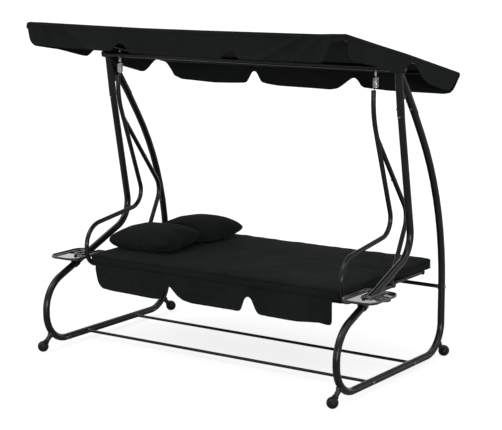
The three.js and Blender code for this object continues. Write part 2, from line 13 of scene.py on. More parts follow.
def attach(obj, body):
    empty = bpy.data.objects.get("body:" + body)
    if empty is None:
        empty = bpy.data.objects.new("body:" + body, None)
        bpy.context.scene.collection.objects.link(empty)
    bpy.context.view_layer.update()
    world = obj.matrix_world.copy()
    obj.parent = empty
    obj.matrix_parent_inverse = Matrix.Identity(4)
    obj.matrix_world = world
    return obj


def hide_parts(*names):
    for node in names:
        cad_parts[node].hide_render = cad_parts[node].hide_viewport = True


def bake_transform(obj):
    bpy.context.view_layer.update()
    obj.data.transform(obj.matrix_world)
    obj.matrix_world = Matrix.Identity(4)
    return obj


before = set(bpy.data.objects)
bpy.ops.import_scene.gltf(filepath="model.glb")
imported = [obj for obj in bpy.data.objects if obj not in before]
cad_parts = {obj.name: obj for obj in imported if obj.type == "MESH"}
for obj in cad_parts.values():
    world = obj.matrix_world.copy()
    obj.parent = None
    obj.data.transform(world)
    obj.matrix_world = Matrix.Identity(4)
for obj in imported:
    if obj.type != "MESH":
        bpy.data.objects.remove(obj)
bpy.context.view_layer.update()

SIDES = (("left", -1), ("right", 1))
ENDS = (("front", -1), ("rear", 1))
X_AXIS, Y_AXIS, Z_AXIS = Vector((1, 0, 0)), Vector((0, 1, 0)), Vector((0, 0, 1))

# ---- the frame's own sizes ----------------------------------------------------------------
SIDE_X = 0.930  # centre plane of each side frame
LEG_R = 0.019
RAIL_Z = 0.042
RAIL_HALF = 0.372
FRONT_Y, REAR_Y = -0.541, 0.535
CORNER_BEND = 0.158
FOOT_Y, FOOT_Z, FOOT_R = 0.5746, 0.029, 0.030
FOOT_STUB_R = 0.0135
STUB_ROOT_Y, STUB_ROOT_Z = 0.498, 0.091
STRETCHER_R = 0.008
STRETCHER_Y = {"front": -0.209, "rear": 0.220}
REAR_BAR_R, REAR_BAR_Z = 0.0105, 0.390
HUB_Y, HUB_Z, HUB_R = 0.030, 1.592, 0.024
FRONT_JOINT = (0.061, 1.372)  # (y, z) where the bracket's legs meet the posts
REAR_JOINT = (0.190, 1.373)
POST_KNEE = (0.197, 0.645, 0.150)  # (y, z, bend radius) where the front post turns forward
POST_SHIN = (FRONT_Y, 0.347, 0.190)  # and where it turns down to the floor
REAR_BOW = (REAR_Y, 0.854, 1.5)  # the rear leg's long bend
JOINT_GAP = 0.001  # the posts end this far below the bracket's legs
SLEEVE_WALL, SLEEVE_OVERLAP = 0.0014, 0.10  # the overlap is a share of the bracket's leg
RAIL_BOLT = 0.022  # how far past the bottom rail's ends its bolts sit
TUBE_SINK = 0.003  # how far a cross tube reaches into the side frame's tube
BUTT_GAP = 0.0004  # the tubes of a side frame stop this far short of each other
CROSSBAR_Y, CROSSBAR_Z, CROSSBAR_R = 0.004, 1.594, 0.016

HANG_X, HANG_Y = 0.820, -0.002
EYE_Z, EYE_RING, EYE_WIRE = 1.567, 0.0075, 0.00275
HOOK_Z, HOOK_LOOP, HOOK_WIRE = 1.5585, 0.0065, 0.0025
COIL_TOP, COIL_BOTTOM, COIL_R, COIL_WIRE = 1.546, 1.494, 0.01275, 0.00225

ARM_R = 0.0125
ARM_TOP = (-0.022, 1.480)
SEAT_Z = 0.447  # centre of the seat's and backrest's tubes
HINGE_Y = 0.187
BACK_X = 0.790
SEAT_RAILS_Y = {"front": -0.250, "rear": 0.150}
BACK_RAILS_Y = {"lower": 0.225, "top": 0.566}
SLING_X = 0.780

CANOPY_TILT = math.radians(12.9)
CANOPY_X, CANOPY_FRONT, CANOPY_REAR, CANOPY_TOP = 0.985, -0.6215, 0.5703, 0.0631
CANOPY_BAR_R, CANOPY_SIDE_BAR_X, CANOPY_BAR_Z = 0.009, 0.952, 0.0508
KNOB_X, KNOB_R, KNOB_LOBE = 0.9543, 0.019, 0.003
TRAY_X, TRAY_Y, TRAY_Z, TRAY_LIP = 0.945, -0.257, 0.482, 0.014
TRAY_HALF_X, TRAY_HALF_Y, TRAY_CORNER = 0.100, 0.143, 0.062
SLOT_HALF, SLOT_FRONT, SLOT_LOBE = 0.022, -0.262, 0.024
CUP_X, CUP_Y, CUP_R, CUP_DEPTH = 1.000, -0.215, 0.035, 0.012
CLAMP_Y = -0.290


# ---- shapes: (vertices, faces) pairs ------------------------------------------------------
def joined(shapes):
    """Several shapes as one."""
    vertices, faces, start = [], [], 0
    for points, polygons in shapes:
        vertices.append(np.asarray(points, float))
        faces += [[start + i for i in polygon] for polygon in polygons]
        start += len(points)
    return np.vstack(vertices), faces


def placed(shape, at, axis=Z_AXIS, spin=0.0):
    """A shape whose +Z is turned to axis and whose origin is moved to at."""
    turn = Z_AXIS.rotation_difference(Vector(axis)).to_matrix() @ Matrix.Rotation(spin, 3, "Z")
    return np.asarray(shape[0]) @ np.array(turn).T + np.array(at), shape[1]


def mirrored(shape):
    """A shape reflected in the plane x = 0, its faces still pointing out."""
    return np.asarray(shape[0]) * (-1, 1, 1), [polygon[::-1] for polygon in shape[1]]


def tilted(shape):
    """A shape in the canopy's own plane, moved to where the canopy stands."""
    c, s = math.cos(CANOPY_TILT), math.sin(CANOPY_TILT)
    turn = np.array(((1, 0, 0), (0, c, s), (0, -s, c)))
    return np.asarray(shape[0]) @ turn.T + (0, HUB_Y, HUB_Z), shape[1]


def rings(rows, closed_ends=True, loop=False):
    """Faces between rings of the same number of points, stacked in order."""
    rows = np.asarray(rows, float)
    count, around = rows.shape[:2]
    faces = []
    for i in range(count if loop else count - 1):
        a, b = i * around, (i + 1) % count * around
        for k in range(around):
            n = (k + 1) % around
            faces.append([a + k, a + n, b + n, b + k])
    if closed_ends and not loop:
        faces.append(list(range(around))[::-1])
        faces.append([(count - 1) * around + k for k in range(around)])
    return rows.reshape(-1, 3), faces


def bent_path(corners, step=math.radians(4)):
    """(point, direction) stations along straight runs between corners, each (point, bend radius)."""
    points = [Vector(point) for point, _ in corners]
    stations = [(points[0], (points[1] - points[0]).normalized())]
    for i in range(1, len(points) - 1):
        before = (points[i] - points[i - 1]).normalized()
        after = (points[i + 1] - points[i]).normalized()
        turn, bend = before.angle(after), corners[i][1]
        axis = before.cross(after).normalized()
        start = points[i] - before * bend * math.tan(turn / 2)
        centre = start + axis.cross(before) * bend
        steps = max(3, math.ceil(turn / step))
        for k in range(steps + 1):
            spin = Matrix.Rotation(turn * k / steps, 3, axis)
            stations.append((centre + spin @ (start - centre), spin @ before))
    stations.append((points[-1], (points[-1] - points[-2]).normalized()))
    return stations


def swept(stations, radius, around=28, lip=0.0012):
    """A closed round tube along stations, its ends slightly rounded."""
    first, last = stations[0], stations[-1]
    route = [(first[0], first[1], radius - lip), (first[0] + first[1] * lip, first[1], radius)]
    route += [(point, direction, radius) for point, direction in stations[1:-1]]
    route += [(last[0] - last[1] * lip, last[1], radius), (last[0], last[1], radius - lip)]
    side = first[1].cross(X_AXIS)
    side = side.normalized() if side.length > 0.1 else Y_AXIS.copy()
    heading, rows = first[1], []
    angles = np.arange(around) * 2 * math.pi / around
    for point, direction, r in route:
        side = (heading.rotation_difference(direction) @ side).normalized()
        up = direction.cross(side)
        heading = direction
        rows.append(np.array(point) + r * (np.outer(np.cos(angles), side) + np.outer(np.sin(angles), up)))
    return rings(rows)


def straight(start, end, radius, around=28):
    return swept(bent_path([(start, 0), (end, 0)]), radius, around)


def side_tube(x, corners, radius):
    """A tube bent in the plane x, through corners given as (y, z, bend radius)."""
    return swept(bent_path([((x, y, z), bend) for y, z, bend in corners]), radius)


def lathed(profile, around=36):
    """A closed solid about +Z; profile runs from the lower axis point to the upper, as (radius, height)."""
    angles = np.arange(around) * 2 * math.pi / around
    rows = [np.column_stack((r * np.cos(angles), r * np.sin(angles), np.full(around, h)))
            for r, h in profile[1:-1]]
    vertices, faces = rings(rows, closed_ends=False)
    low, high = len(vertices), len(vertices) + 1
    top = (len(rows) - 1) * around
    vertices = np.vstack((vertices, (0, 0, profile[0][1]), (0, 0, profile[-1][1])))
    for k in range(around):
        n = (k + 1) % around
        faces.append([low, n, k])
        faces.append([high, top + k, top + n])
    return vertices, faces


def ring_lathed(profile, around=36):
    """A closed ring about +Z from a closed profile of (radius, height), outside wall upwards."""
    rows = []
    for k in range(around):
        angle = -2 * math.pi * k / around
        rows.append([(r * math.cos(angle), r * math.sin(angle), h) for r, h in profile])
    return rings(rows, loop=True)


def full_turn(count):
    """count angles, evenly spaced round a full turn."""
    return [2 * math.pi * k / count for k in range(count)]


def wire_ring(ring, wire, around=48, sides=14):
    """A ring of round wire about +Z."""
    profile = [(ring + wire * math.cos(a), wire * math.sin(a)) for a in full_turn(sides)]
    return ring_lathed(profile, around)


def rod(low, high, radius, around=24):
    """A short round solid about +Z."""
    return lathed([(0, low), (radius, low), (radius, high), (0, high)], around)


def dome(radius, height, steps=6):
    """The upper half of a flattened ball, as a profile that ends on the axis."""
    angles = [math.pi / 2 * k / steps for k in range(steps + 1)]
    return [(radius * math.cos(a), height * math.sin(a)) for a in angles]


def carriage_bolt(radius=0.0065):
    """A domed head on a round washer, standing on z = 0."""
    washer = [(0, -0.001), (radius * 1.35, -0.001), (radius * 1.45, 0), (radius * 1.35, 0.0012)]
    head = [(r, 0.0012 + h) for r, h in dome(radius, radius * 0.62)]
    return lathed(washer + head, 24)


def hex_nut(radius=0.0075, height=0.006):
    """A chamfered nut on a washer, with the bolt's end standing out of it."""
    washer = lathed([(0, -0.001), (radius * 1.25, -0.001), (radius * 1.3, 0.0006), (0, 0.0012)], 24)
    rows = []
    for r, h in ((radius * 0.92, 0.001), (radius, 0.002), (radius, height), (radius * 0.9, height + 0.001)):
        rows.append([(r * math.cos(k * math.pi / 3), r * math.sin(k * math.pi / 3), h) for k in range(6)])
    end = lathed([(0, height - 0.001)] + [(radius * 0.45, height - 0.001)]
                 + [(r, height + 0.003 + h) for r, h in dome(radius * 0.45, 0.0008, 3)], 18)
    return joined([washer, rings(rows), end])


def weld_bead(at, axis, radius, bead=0.0028):
    """A rippled fillet round a tube where it meets another."""
    rows = []
    for turn in full_turn(44):
        wire = bead * (1 + 0.16 * math.sin(11 * turn))
        row = []
        for a in full_turn(8):
            reach = radius + wire * math.cos(a)
            row.append((reach * math.cos(-turn), reach * math.sin(-turn), wire * math.sin(a)))
        rows.append(row)
    return placed(rings(rows, loop=True), at, axis)


# ---- materials ----------------------------------------------------------------------------
class Finish:
    """A procedural material: a Principled shader with what feeds it."""

    def __init__(self, name, **sockets):
        self.material = bpy.data.materials.new(name)
        self.material.use_nodes = True
        self.tree = self.material.node_tree
        self.shader = self.tree.nodes["Principled BSDF"]
        for socket, value in sockets.items():
            self.shader.inputs[socket.replace("_", " ")].default_value = value
        self.place = self.tree.nodes.new("ShaderNodeTexCoord").outputs["Object"]

    def node(self, kind, inputs=(), **settings):
        made = self.tree.nodes.new("ShaderNode" + kind)
        for key, value in settings.items():
            setattr(made, key, value)
        for key, value in dict(inputs).items():
            if isinstance(value, bpy.types.NodeSocket):
                self.tree.links.new(value, made.inputs[key])
            else:
                made.inputs[key].default_value = value
        return made

    def grain(self, scale, detail=2.0, roughness=0.5, stretch=None):
        """Noise from 0 to 1 at scale blotches per metre."""
        place = self.place
        if stretch is not None:
            place = self.node("Mapping", {"Vector": self.place, "Scale": stretch}).outputs["Vector"]
        inputs = {"Vector": place, "Scale": scale, "Detail": detail, "Roughness": roughness}
        return self.node("TexNoise", inputs).outputs["Fac"]

    def spread(self, value, low, high, source=(0.3, 0.7)):
        """value, stretched from source to the range low to high."""
        inputs = {"Value": value, "From Min": source[0], "From Max": source[1], "To Min": low, "To Max": high}
        return self.node("MapRange", inputs).outputs["Result"]

    def blend_colours(self, factor, dark, light):
        mix = self.node("Mix", data_type="RGBA")
        self.tree.links.new(factor, mix.inputs[0])
        mix.inputs[6].default_value = (*dark, 1)
        mix.inputs[7].default_value = (*light, 1)
        return mix.outputs[2]

    def total(self, *values):
        result = values[0]
        for value in values[1:]:
            result = self.node("Math", {0: result, 1: value}, operation="ADD").outputs[0]
        return result

    def times(self, a, b):
        return self.node("Math", {0: a, 1: b}, operation="MULTIPLY").outputs[0]

    def weave(self, thread):
        """Crossed threads of that width along the three axes, as height from 0 to 1."""
        scale = math.pi / (20 * thread)
        bands = [self.node("TexWave", {"Vector": self.place, "Scale": scale, "Distortion": 0.6,
                                       "Detail": 1.0, "Detail Scale": 0.3},
                           bands_direction=axis).outputs["Fac"] for axis in "XYZ"]
        return self.times(self.total(*bands), 1 / 3)

    def colour(self, socket):
        self.tree.links.new(socket, self.shader.inputs["Base Color"])

    def rough(self, socket):
        self.tree.links.new(socket, self.shader.inputs["Roughness"])

    def relief(self, *heights):
        """Bumps laid over each other, each (height, depth in metres)."""
        normal = None
        for height, depth in heights:
            inputs = {"Height": height, "Distance": depth, "Strength": 1.0}
            bump = self.node("Bump", inputs)
            if normal is not None:
                self.tree.links.new(normal, bump.inputs["Normal"])
            normal = bump.outputs["Normal"]
        self.tree.links.new(normal, self.shader.inputs["Normal"])


def powder_coat():
    """Gloss black powder coat on steel tube: fine orange peel, a little dust and hazing."""
    finish = Finish("powder_coat", Specular_IOR_Level=0.26)
    dust = finish.grain(7, 4, 0.6)
    dark, light = (0.0026, 0.0027, 0.0028), (0.0056, 0.0057, 0.0058)
    finish.colour(finish.blend_colours(finish.spread(dust, 0, 1), dark, light))
    haze = finish.total(dust, finish.times(finish.grain(160, 3), 0.4))
    finish.rough(finish.spread(haze, 0.15, 0.27, (0.5, 0.9)))
    finish.relief((finish.grain(420, 2), 0.00035), (finish.grain(1500, 2), 0.00006))
    return finish.material


def zinc_plate(name, dark, light, roughness):
    """Zinc plate with slight clouding and drawn-wire lines."""
    finish = Finish(name, Metallic=1.0)
    cloud = finish.grain(90, 4)
    finish.colour(finish.blend_colours(finish.spread(cloud, 0, 1), dark, light))
    finish.rough(finish.spread(finish.grain(300, 3), *roughness))
    finish.relief((finish.grain(900, 2), 0.00006))
    return finish.material


def moulded_plastic(name, low, high, roughness, texture, shine=0.2, gloss=0.0):
    """Injection-moulded plastic: an even colour with flow marks and a fine texture."""
    finish = Finish(name, Specular_IOR_Level=shine, Coat_Weight=gloss, Coat_Roughness=0.04)
    flow = finish.grain(14, 3)
    finish.colour(finish.blend_colours(finish.spread(flow, 0, 1), low, high))
    finish.rough(finish.spread(finish.grain(60, 3), *roughness))
    finish.relief((finish.grain(1800, 2), texture))
    return finish.material


def cloth(name, dark, light, thread, depth, slub, sheen):
    """Woven polyester: crossed threads, slubs, slight fading in large patches."""
    finish = Finish(name, Specular_IOR_Level=0.02, Sheen_Weight=sheen, Sheen_Roughness=0.5)
    finish.shader.inputs["Sheen Tint"].default_value = (0.75, 0.85, 0.82, 1)
    weave = finish.weave(thread)
    patches = finish.grain(3.2, 4, 0.55)
    threads = finish.total(finish.times(finish.grain(480, 2, stretch=(1, 0.12, 1)), 0.5),
                           finish.times(finish.grain(480, 2, stretch=(0.12, 1, 0.12)), 0.5))
    tone = finish.total(finish.times(patches, 0.55), finish.times(threads, 0.3 * slub),
                        finish.times(weave, 0.15))
    finish.colour(finish.blend_colours(finish.spread(tone, 0, 1, (0.36, 0.64)), dark, light))
    finish.rough(finish.spread(threads, 0.78, 0.94))
    finish.relief((weave, depth), (threads, depth * 0.8), (finish.grain(26, 3), 0.0012))
    return finish.material


PAINT = powder_coat()
ZINC = zinc_plate("bright_zinc", (0.55, 0.56, 0.58), (0.80, 0.81, 0.83), (0.16, 0.34))
DULL_ZINC = zinc_plate("dull_zinc", (0.10, 0.10, 0.105), (0.20, 0.20, 0.21), (0.38, 0.55))
BLACK = (0.004, 0.004, 0.0045), (0.007, 0.007, 0.0075)  # darkest and lightest of the moulded plastic
PLASTIC = moulded_plastic("black_plastic", *BLACK, (0.34, 0.5), 0.00008, shine=0.14)
TRAY_PLASTIC = moulded_plastic("tray_plastic", *BLACK, (0.05, 0.12), 0.000004, 0.3, 1.0)
CUSHION_CLOTH = cloth("cushion_cloth", (0.0057, 0.0066, 0.0063), (0.0102, 0.0116, 0.0112),
                      thread=0.0007, depth=0.0003, slub=1.0, sheen=0.02)
CANOPY_CLOTH = cloth("canopy_cloth", (0.0062, 0.0070, 0.0067), (0.0104, 0.0116, 0.0112),
                     thread=0.0006, depth=0.0002, slub=0.6, sheen=0.015)
SLING_CLOTH = cloth("sling_cloth", (0.004, 0.0042, 0.0042), (0.013, 0.0135, 0.0135),
                    thread=0.0014, depth=0.0007, slub=0.4, sheen=0.02)
PIPING_CLOTH = cloth("piping_cloth", (0.0058, 0.0066, 0.0064), (0.0095, 0.0108, 0.0104),
                     thread=0.0005, depth=0.00015, slub=0.4, sheen=0.02)


# ---- pieces -------------------------------------------------------------------------------
def mesh_object(name, shape, material, sharp=math.radians(38)):
    mesh = bpy.data.meshes.new(name)
    mesh.from_pydata([tuple(v) for v in shape[0]], [], shape[1])
    mesh.polygons.foreach_set("use_smooth", [True] * len(mesh.polygons))
    if sharp is not None:
        mesh.set_sharp_from_angle(angle=sharp)
    mesh.materials.append(material)
    made = bpy.data.objects.new(name, mesh)
    bpy.context.scene.collection.objects.link(made)
    return made


def finished(made, body, replaces=()):
    """Gives a piece its body and hides the CAD nodes that it stands for."""
    if body:
        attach(made, body)
    if replaces:
        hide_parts(*replaces)
    return made


def piece(name, shape, material, body, replaces=()):
    return finished(mesh_object(name, shape, material), body, replaces)


def painted(name, shape, body, *replaces):
    return piece(name, shape, PAINT, body, replaces)


def zinc(name, shape, body, *replaces):
    return piece(name, shape, ZINC, body, replaces)


def plastic(name, shape, body, *replaces):
    return piece(name, shape, PLASTIC, body, replaces)


def fastener(name, shape, body, *replaces):
    return piece(name, shape, DULL_ZINC, body, replaces)


def baked(made):
    """The object's mesh with its modifiers applied."""
    graph = bpy.context.evaluated_depsgraph_get()
    mesh = bpy.data.meshes.new_from_object(made.evaluated_get(graph))
    made.modifiers.clear()
    made.data = mesh
    return made


def united(name, shapes, material):
    """Overlapping closed shapes as one clean solid."""
    base, *others = [mesh_object(f"{name}_{i}", shape, material, None) for i, shape in enumerate(shapes)]
    for other in others:
        cut = base.modifiers.new("union", "BOOLEAN")
        cut.operation, cut.object, cut.solver = "UNION", other, "EXACT"
    baked(base)
    for other in others:
        bpy.data.objects.remove(other)
    base.name = base.data.name = name
    base.data.polygons.foreach_set("use_smooth", [True] * len(base.data.polygons))
    base.data.set_sharp_from_angle(angle=math.radians(30))
    return base


def ripple(x, y, z=0.0, seed=0.0):
    """Smooth noise from -1 to 1."""
    return noise.noise(Vector((x, y, z + 17.3 * seed)))


# ---- stand --------------------------------------------------------------------------------
def line_point(start, end, share):
    return tuple(a + (b - a) * share for a, b in zip(start, end))


def build_side_frame(side, sign):
    x = sign * SIDE_X
    front_leg = [(FRONT_JOINT[0], FRONT_JOINT[1] - JOINT_GAP, 0), POST_KNEE, POST_SHIN,
                 (FRONT_Y, RAIL_Z, CORNER_BEND), (-RAIL_HALF - BUTT_GAP, RAIL_Z, 0)]
    rear_leg = [(RAIL_HALF + BUTT_GAP, RAIL_Z, 0), (REAR_Y, RAIL_Z, CORNER_BEND), REAR_BOW,
                (REAR_JOINT[0], REAR_JOINT[1] - JOINT_GAP, 0)]
    painted(f"post_front_{side}", side_tube(x, front_leg, LEG_R), "stand", f"front_leg_{side}")
    painted(f"post_rear_{side}", side_tube(x, rear_leg, LEG_R), "stand", f"rear_leg_{side}")
    rail = straight((x, -RAIL_HALF, RAIL_Z), (x, RAIL_HALF, RAIL_Z), LEG_R)
    painted(f"rail_bottom_{side}", rail, "stand", f"bottom_rail_{side}")
    build_bracket(side, sign)
    for end, way in ENDS:
        build_foot(side, x, end, way)


def build_bracket(side, sign):
    """Two sleeves welded to the hub; each reaches a little way down over its post."""
    x = sign * SIDE_X
    hub = (x, HUB_Y, HUB_Z)
    sleeve_r = LEG_R + SLEEVE_WALL
    edge = 0.002
    barrel = [(0, -LEG_R), (HUB_R - edge, -LEG_R), (HUB_R, -LEG_R + edge), (HUB_R, LEG_R - edge),
              (HUB_R - edge, LEG_R), (0, LEG_R)]
    parts = [placed(lathed(barrel, 48), hub, X_AXIS)]
    for joint in (FRONT_JOINT, REAR_JOINT):
        start = (x, *line_point(joint, (HUB_Y, HUB_Z), -SLEEVE_OVERLAP))
        parts.append(straight(start, hub, sleeve_r, 40))
    parts.append(gusset(x))
    bracket = united(f"bracket_{side}", parts, PAINT)
    finished(bracket, "stand", (f"top_bracket_{side}",))
    build_bracket_screws(side, sign, sleeve_r)


def gusset(x, half=0.005, steps=10):
    """The web between the bracket's legs, its lower edge hollowed."""
    left, right = [line_point((HUB_Y, HUB_Z), joint, 0.80) for joint in (FRONT_JOINT, REAR_JOINT)]
    outline = [(HUB_Y, HUB_Z)]
    for k in range(steps + 1):
        t = k / steps
        y, z = line_point(left, right, t)
        outline.append((y, z + 0.022 * math.sin(math.pi * t)))
    rows = [[(x + side, y, z) for y, z in outline] for side in (half, -half)]
    return rings(rows)


SCREW_PLACES = (  # how far above each joint its two screws sit, along the leg
    (FRONT_JOINT, 0.0135, -0.022),
    (REAR_JOINT, 0.051, 0.019),
)


def build_bracket_screws(side, sign, sleeve_r):
    """Through each joint one screw from side to side and, below it, one from the front."""
    x = sign * SIDE_X
    screws = []
    for joint, upper, lower in SCREW_PLACES:
        down = (Vector((0, *joint)) - Vector((0, HUB_Y, HUB_Z))).normalized()
        ahead = Vector((0, down.z, -down.y))
        middle = Vector((x, *joint))
        for way in (-1, 1):
            head = carriage_bolt(0.0048) if way == sign else hex_nut(0.005, 0.003)
            screws.append(placed(head, middle - down * upper + Vector((way * sleeve_r, 0, 0)), (way, 0, 0)))
        radius = sleeve_r if lower > 0 else LEG_R
        screws.append(placed(carriage_bolt(0.0046), middle - down * lower + ahead * radius, ahead))
    fastener(f"bracket_screws_{side}", joined(screws), "stand")


def build_foot(side, x, end, way):
    """A stub out of the corner bend, with a moulded ball pushed over its end."""
    root = Vector((x, way * STUB_ROOT_Y, STUB_ROOT_Z))
    ball = Vector((x, way * FOOT_Y, FOOT_Z))
    along = (ball - root).normalized()
    reach = (ball - root).length
    wide, stub_end = FOOT_STUB_R + 0.003, reach - FOOT_R * 0.8
    profile = [(0, LEG_R * 0.4), (wide, LEG_R * 0.4), (wide, LEG_R * 1.1),
               (FOOT_STUB_R + 0.0012, LEG_R * 1.35), (FOOT_STUB_R, LEG_R * 1.7), (FOOT_STUB_R, stub_end),
               (0, stub_end)]
    stub = placed(lathed(profile), root, along)
    bead = weld_bead(root + along * (LEG_R - 0.001), along, wide)
    painted(f"stub_{end}_{side}", joined([stub, bead]), "stand", f"foot_stub_{end}_{side}")
    collar = FOOT_STUB_R + 0.0035
    neck = math.asin(collar / FOOT_R)
    profile = [(0, -FOOT_R)]
    steps = 30
    for i in range(1, steps + 1):
        angle = -math.pi / 2 + (math.pi - neck) * i / steps
        ridge = 0.0004 * math.exp(-((angle / 0.03) ** 2))
        profile.append(((FOOT_R + ridge) * math.cos(angle), (FOOT_R + ridge) * math.sin(angle)))
    top = FOOT_R * math.cos(neck)
    profile += [(collar, top + 0.010), (collar - 0.001, top + 0.012), (FOOT_STUB_R - 0.001, top + 0.0122),
                (0, top + 0.0122)]
    points, faces = placed(lathed(profile, 48), ball, -along)
    points[:, 2] = np.maximum(points[:, 2], 0.0)
    plastic(f"foot_{end}_{side}", (points, faces), "stand", f"ball_foot_{end}_{side}")


def build_stand():
    for side, sign in SIDES:
        build_side_frame(side, sign)
    inside = SIDE_X - LEG_R + TUBE_SINK
    top_bar = straight((-inside, CROSSBAR_Y, CROSSBAR_Z), (inside, CROSSBAR_Y, CROSSBAR_Z), CROSSBAR_R)
    painted("bar_top", top_bar, "stand", "crossbar")
    bars = [(f"stretcher_{end}", f"stretch_bar_{end}", y, RAIL_Z, STRETCHER_R)
            for end, y in STRETCHER_Y.items()]
    bars.append(("rear_bar", "back_bar", REAR_Y, REAR_BAR_Z, REAR_BAR_R))
    bolts = []
    for node, name, y, z, radius in bars:
        tube = straight((-inside, y, z), (inside, y, z), radius)
        painted(name, tube, "stand", node)
        for _, sign in SIDES:
            bolts.append(placed(carriage_bolt(0.0068), (sign * (SIDE_X + LEG_R), y, z), (sign, 0, 0)))
            collar = [(0, -0.004), (radius + 0.0045, -0.004), (radius + 0.005, -0.0005),
                      (radius + 0.003, 0.0008), (0, 0.0008)]
            bolts.append(placed(lathed(collar), (sign * (SIDE_X - LEG_R - 0.0005), y, z), (-sign, 0, 0)))
    for _, sign in SIDES:
        for y in (-RAIL_HALF - RAIL_BOLT, RAIL_HALF + RAIL_BOLT):
            bolts.append(placed(carriage_bolt(0.0055), (sign * (SIDE_X - LEG_R), y, RAIL_Z), (-sign, 0, 0)))
    fastener("stand_bolts", joined(bolts), "stand")


# ---- trays --------------------------------------------------------------------------------
def tray_outline(inset, arc=8):
    """The right tray's outline moved inwards, with a slot for the post, counter-clockwise from above."""
    x0, x1 = TRAY_X - TRAY_HALF_X + inset, TRAY_X + TRAY_HALF_X - inset
    y0, y1 = TRAY_Y - TRAY_HALF_Y + inset, TRAY_Y + TRAY_HALF_Y - inset
    r, lobe = TRAY_CORNER - inset, SLOT_LOBE - inset
    slot = SLOT_HALF + inset
    nip = max(0.012 - inset, 0.002)

    def turn(cx, cy, radius, start, sweep=90, steps=arc):
        angles = [math.radians(start + sweep * k / steps) for k in range(steps + 1)]
        return [(cx + radius * math.cos(a), cy + radius * math.sin(a)) for a in angles]

    front = SLOT_FRONT - inset
    points = turn(x1 - r, y0 + r, r, -90) + turn(x1 - r, y1 - r, r, 0)
    points += turn(SIDE_X + slot + nip, y1 - nip, nip, 90, steps=4)
    points += turn(SIDE_X + slot - 0.006, front + 0.006, 0.006, 0, -90, 4)
    points += turn(SIDE_X - slot + 0.006, front + 0.006, 0.006, -90, -90, 4)
    points += turn(SIDE_X - slot - nip, y1 - nip, nip, 0, steps=4)
    points += turn(x0 + lobe, y1 - lobe, lobe, 90) + turn(x0 + r, y0 + r, r, 180)
    return points


TRAY_WALL = 0.003
TRAY_SHARP = math.radians(50)  # edges sharper than this aren't smoothed over


def tray_shell():
    """A dish with a rolled lip, a moulded step below it and a ribbed cup well."""
    z0, z1 = TRAY_Z, TRAY_Z + TRAY_LIP
    inside = z0 + TRAY_WALL
    walls = [(0.004, z0), (0.0012, z0 + 0.002), (0.0006, z0 + 0.008), (0.0, z1 - 0.002),
             (0.0003, z1 - 0.0006), (0.0014, z1), (0.0032, z1), (0.0043, z1 - 0.0007), (0.0050, z1 - 0.003),
             (0.0062, z0 + 0.006), (0.0095, z0 + 0.0035), (0.0120, inside), (0.0135, inside)]
    rows = [[(x, y, z) for x, y in tray_outline(inset)] for inset, z in walls]
    around = len(rows[0])
    vertices, faces = rings(rows, closed_ends=False)
    vertices, faces = list(map(tuple, vertices)), list(faces)
    ring = 40

    def add_circle(radius, z):
        start = len(vertices)
        vertices.extend((CUP_X + radius * math.cos(a), CUP_Y + radius * math.sin(a), z)
                        for a in full_turn(ring))
        return [start + k for k in range(ring)]

    def bridge(a, b):
        for k in range(ring):
            n = (k + 1) % ring
            faces.append([a[k], a[n], b[n], b[k]])

    floor = z0 - CUP_DEPTH
    rib = floor + 0.0042
    well = [(CUP_R + 0.0035, inside), (CUP_R + 0.002, inside), (CUP_R + 0.0006, z0 + 0.0024),
            (CUP_R, z0 + 0.001), (CUP_R - 0.001, floor + 0.005), (CUP_R - 0.004, floor + TRAY_WALL),
            (CUP_R * 0.72, floor + TRAY_WALL), (CUP_R * 0.70, rib), (CUP_R * 0.62, rib),
            (CUP_R * 0.60, floor + TRAY_WALL), (CUP_R * 0.56, floor + TRAY_WALL)]
    inner = [add_circle(r, z) for r, z in well]
    for a, b in zip(inner, inner[1:]):
        bridge(b, a)
    faces.append(inner[-1])
    under = [(CUP_R + 0.004, z0), (CUP_R + 0.003, z0 - 0.002), (CUP_R + 0.002, floor + 0.001), (CUP_R, floor)]
    outer = [add_circle(r, z) for r, z in under]
    for a, b in zip(outer, outer[1:]):
        bridge(a, b)
    faces.append(outer[-1][::-1])
    holes = {"top": ([(len(rows) - 1) * around + k for k in range(around)], inner[0]),
             "bottom": (list(range(around)), outer[0])}
    return vertices, faces, holes


def fill_between(made, loops, up):
    """Fills the flat region between an outline and a hole in it."""
    work = bmesh.new()
    work.from_mesh(made.data)
    work.verts.ensure_lookup_table()
    edges = []
    for loop in loops:
        for a, b in zip(loop, loop[1:] + loop[:1]):
            pair = (work.verts[a], work.verts[b])
            edges.append(work.edges.get(pair) or work.edges.new(pair))
    result = bmesh.ops.triangle_fill(work, use_beauty=True, edges=edges)
    new_faces = [g for g in result["geom"] if isinstance(g, bmesh.types.BMFace)]
    for face in new_faces:
        face.normal_update()
        if face.normal.z * up < 0:
            face.normal_flip()
        face.smooth = True
    work.to_mesh(made.data)
    work.free()


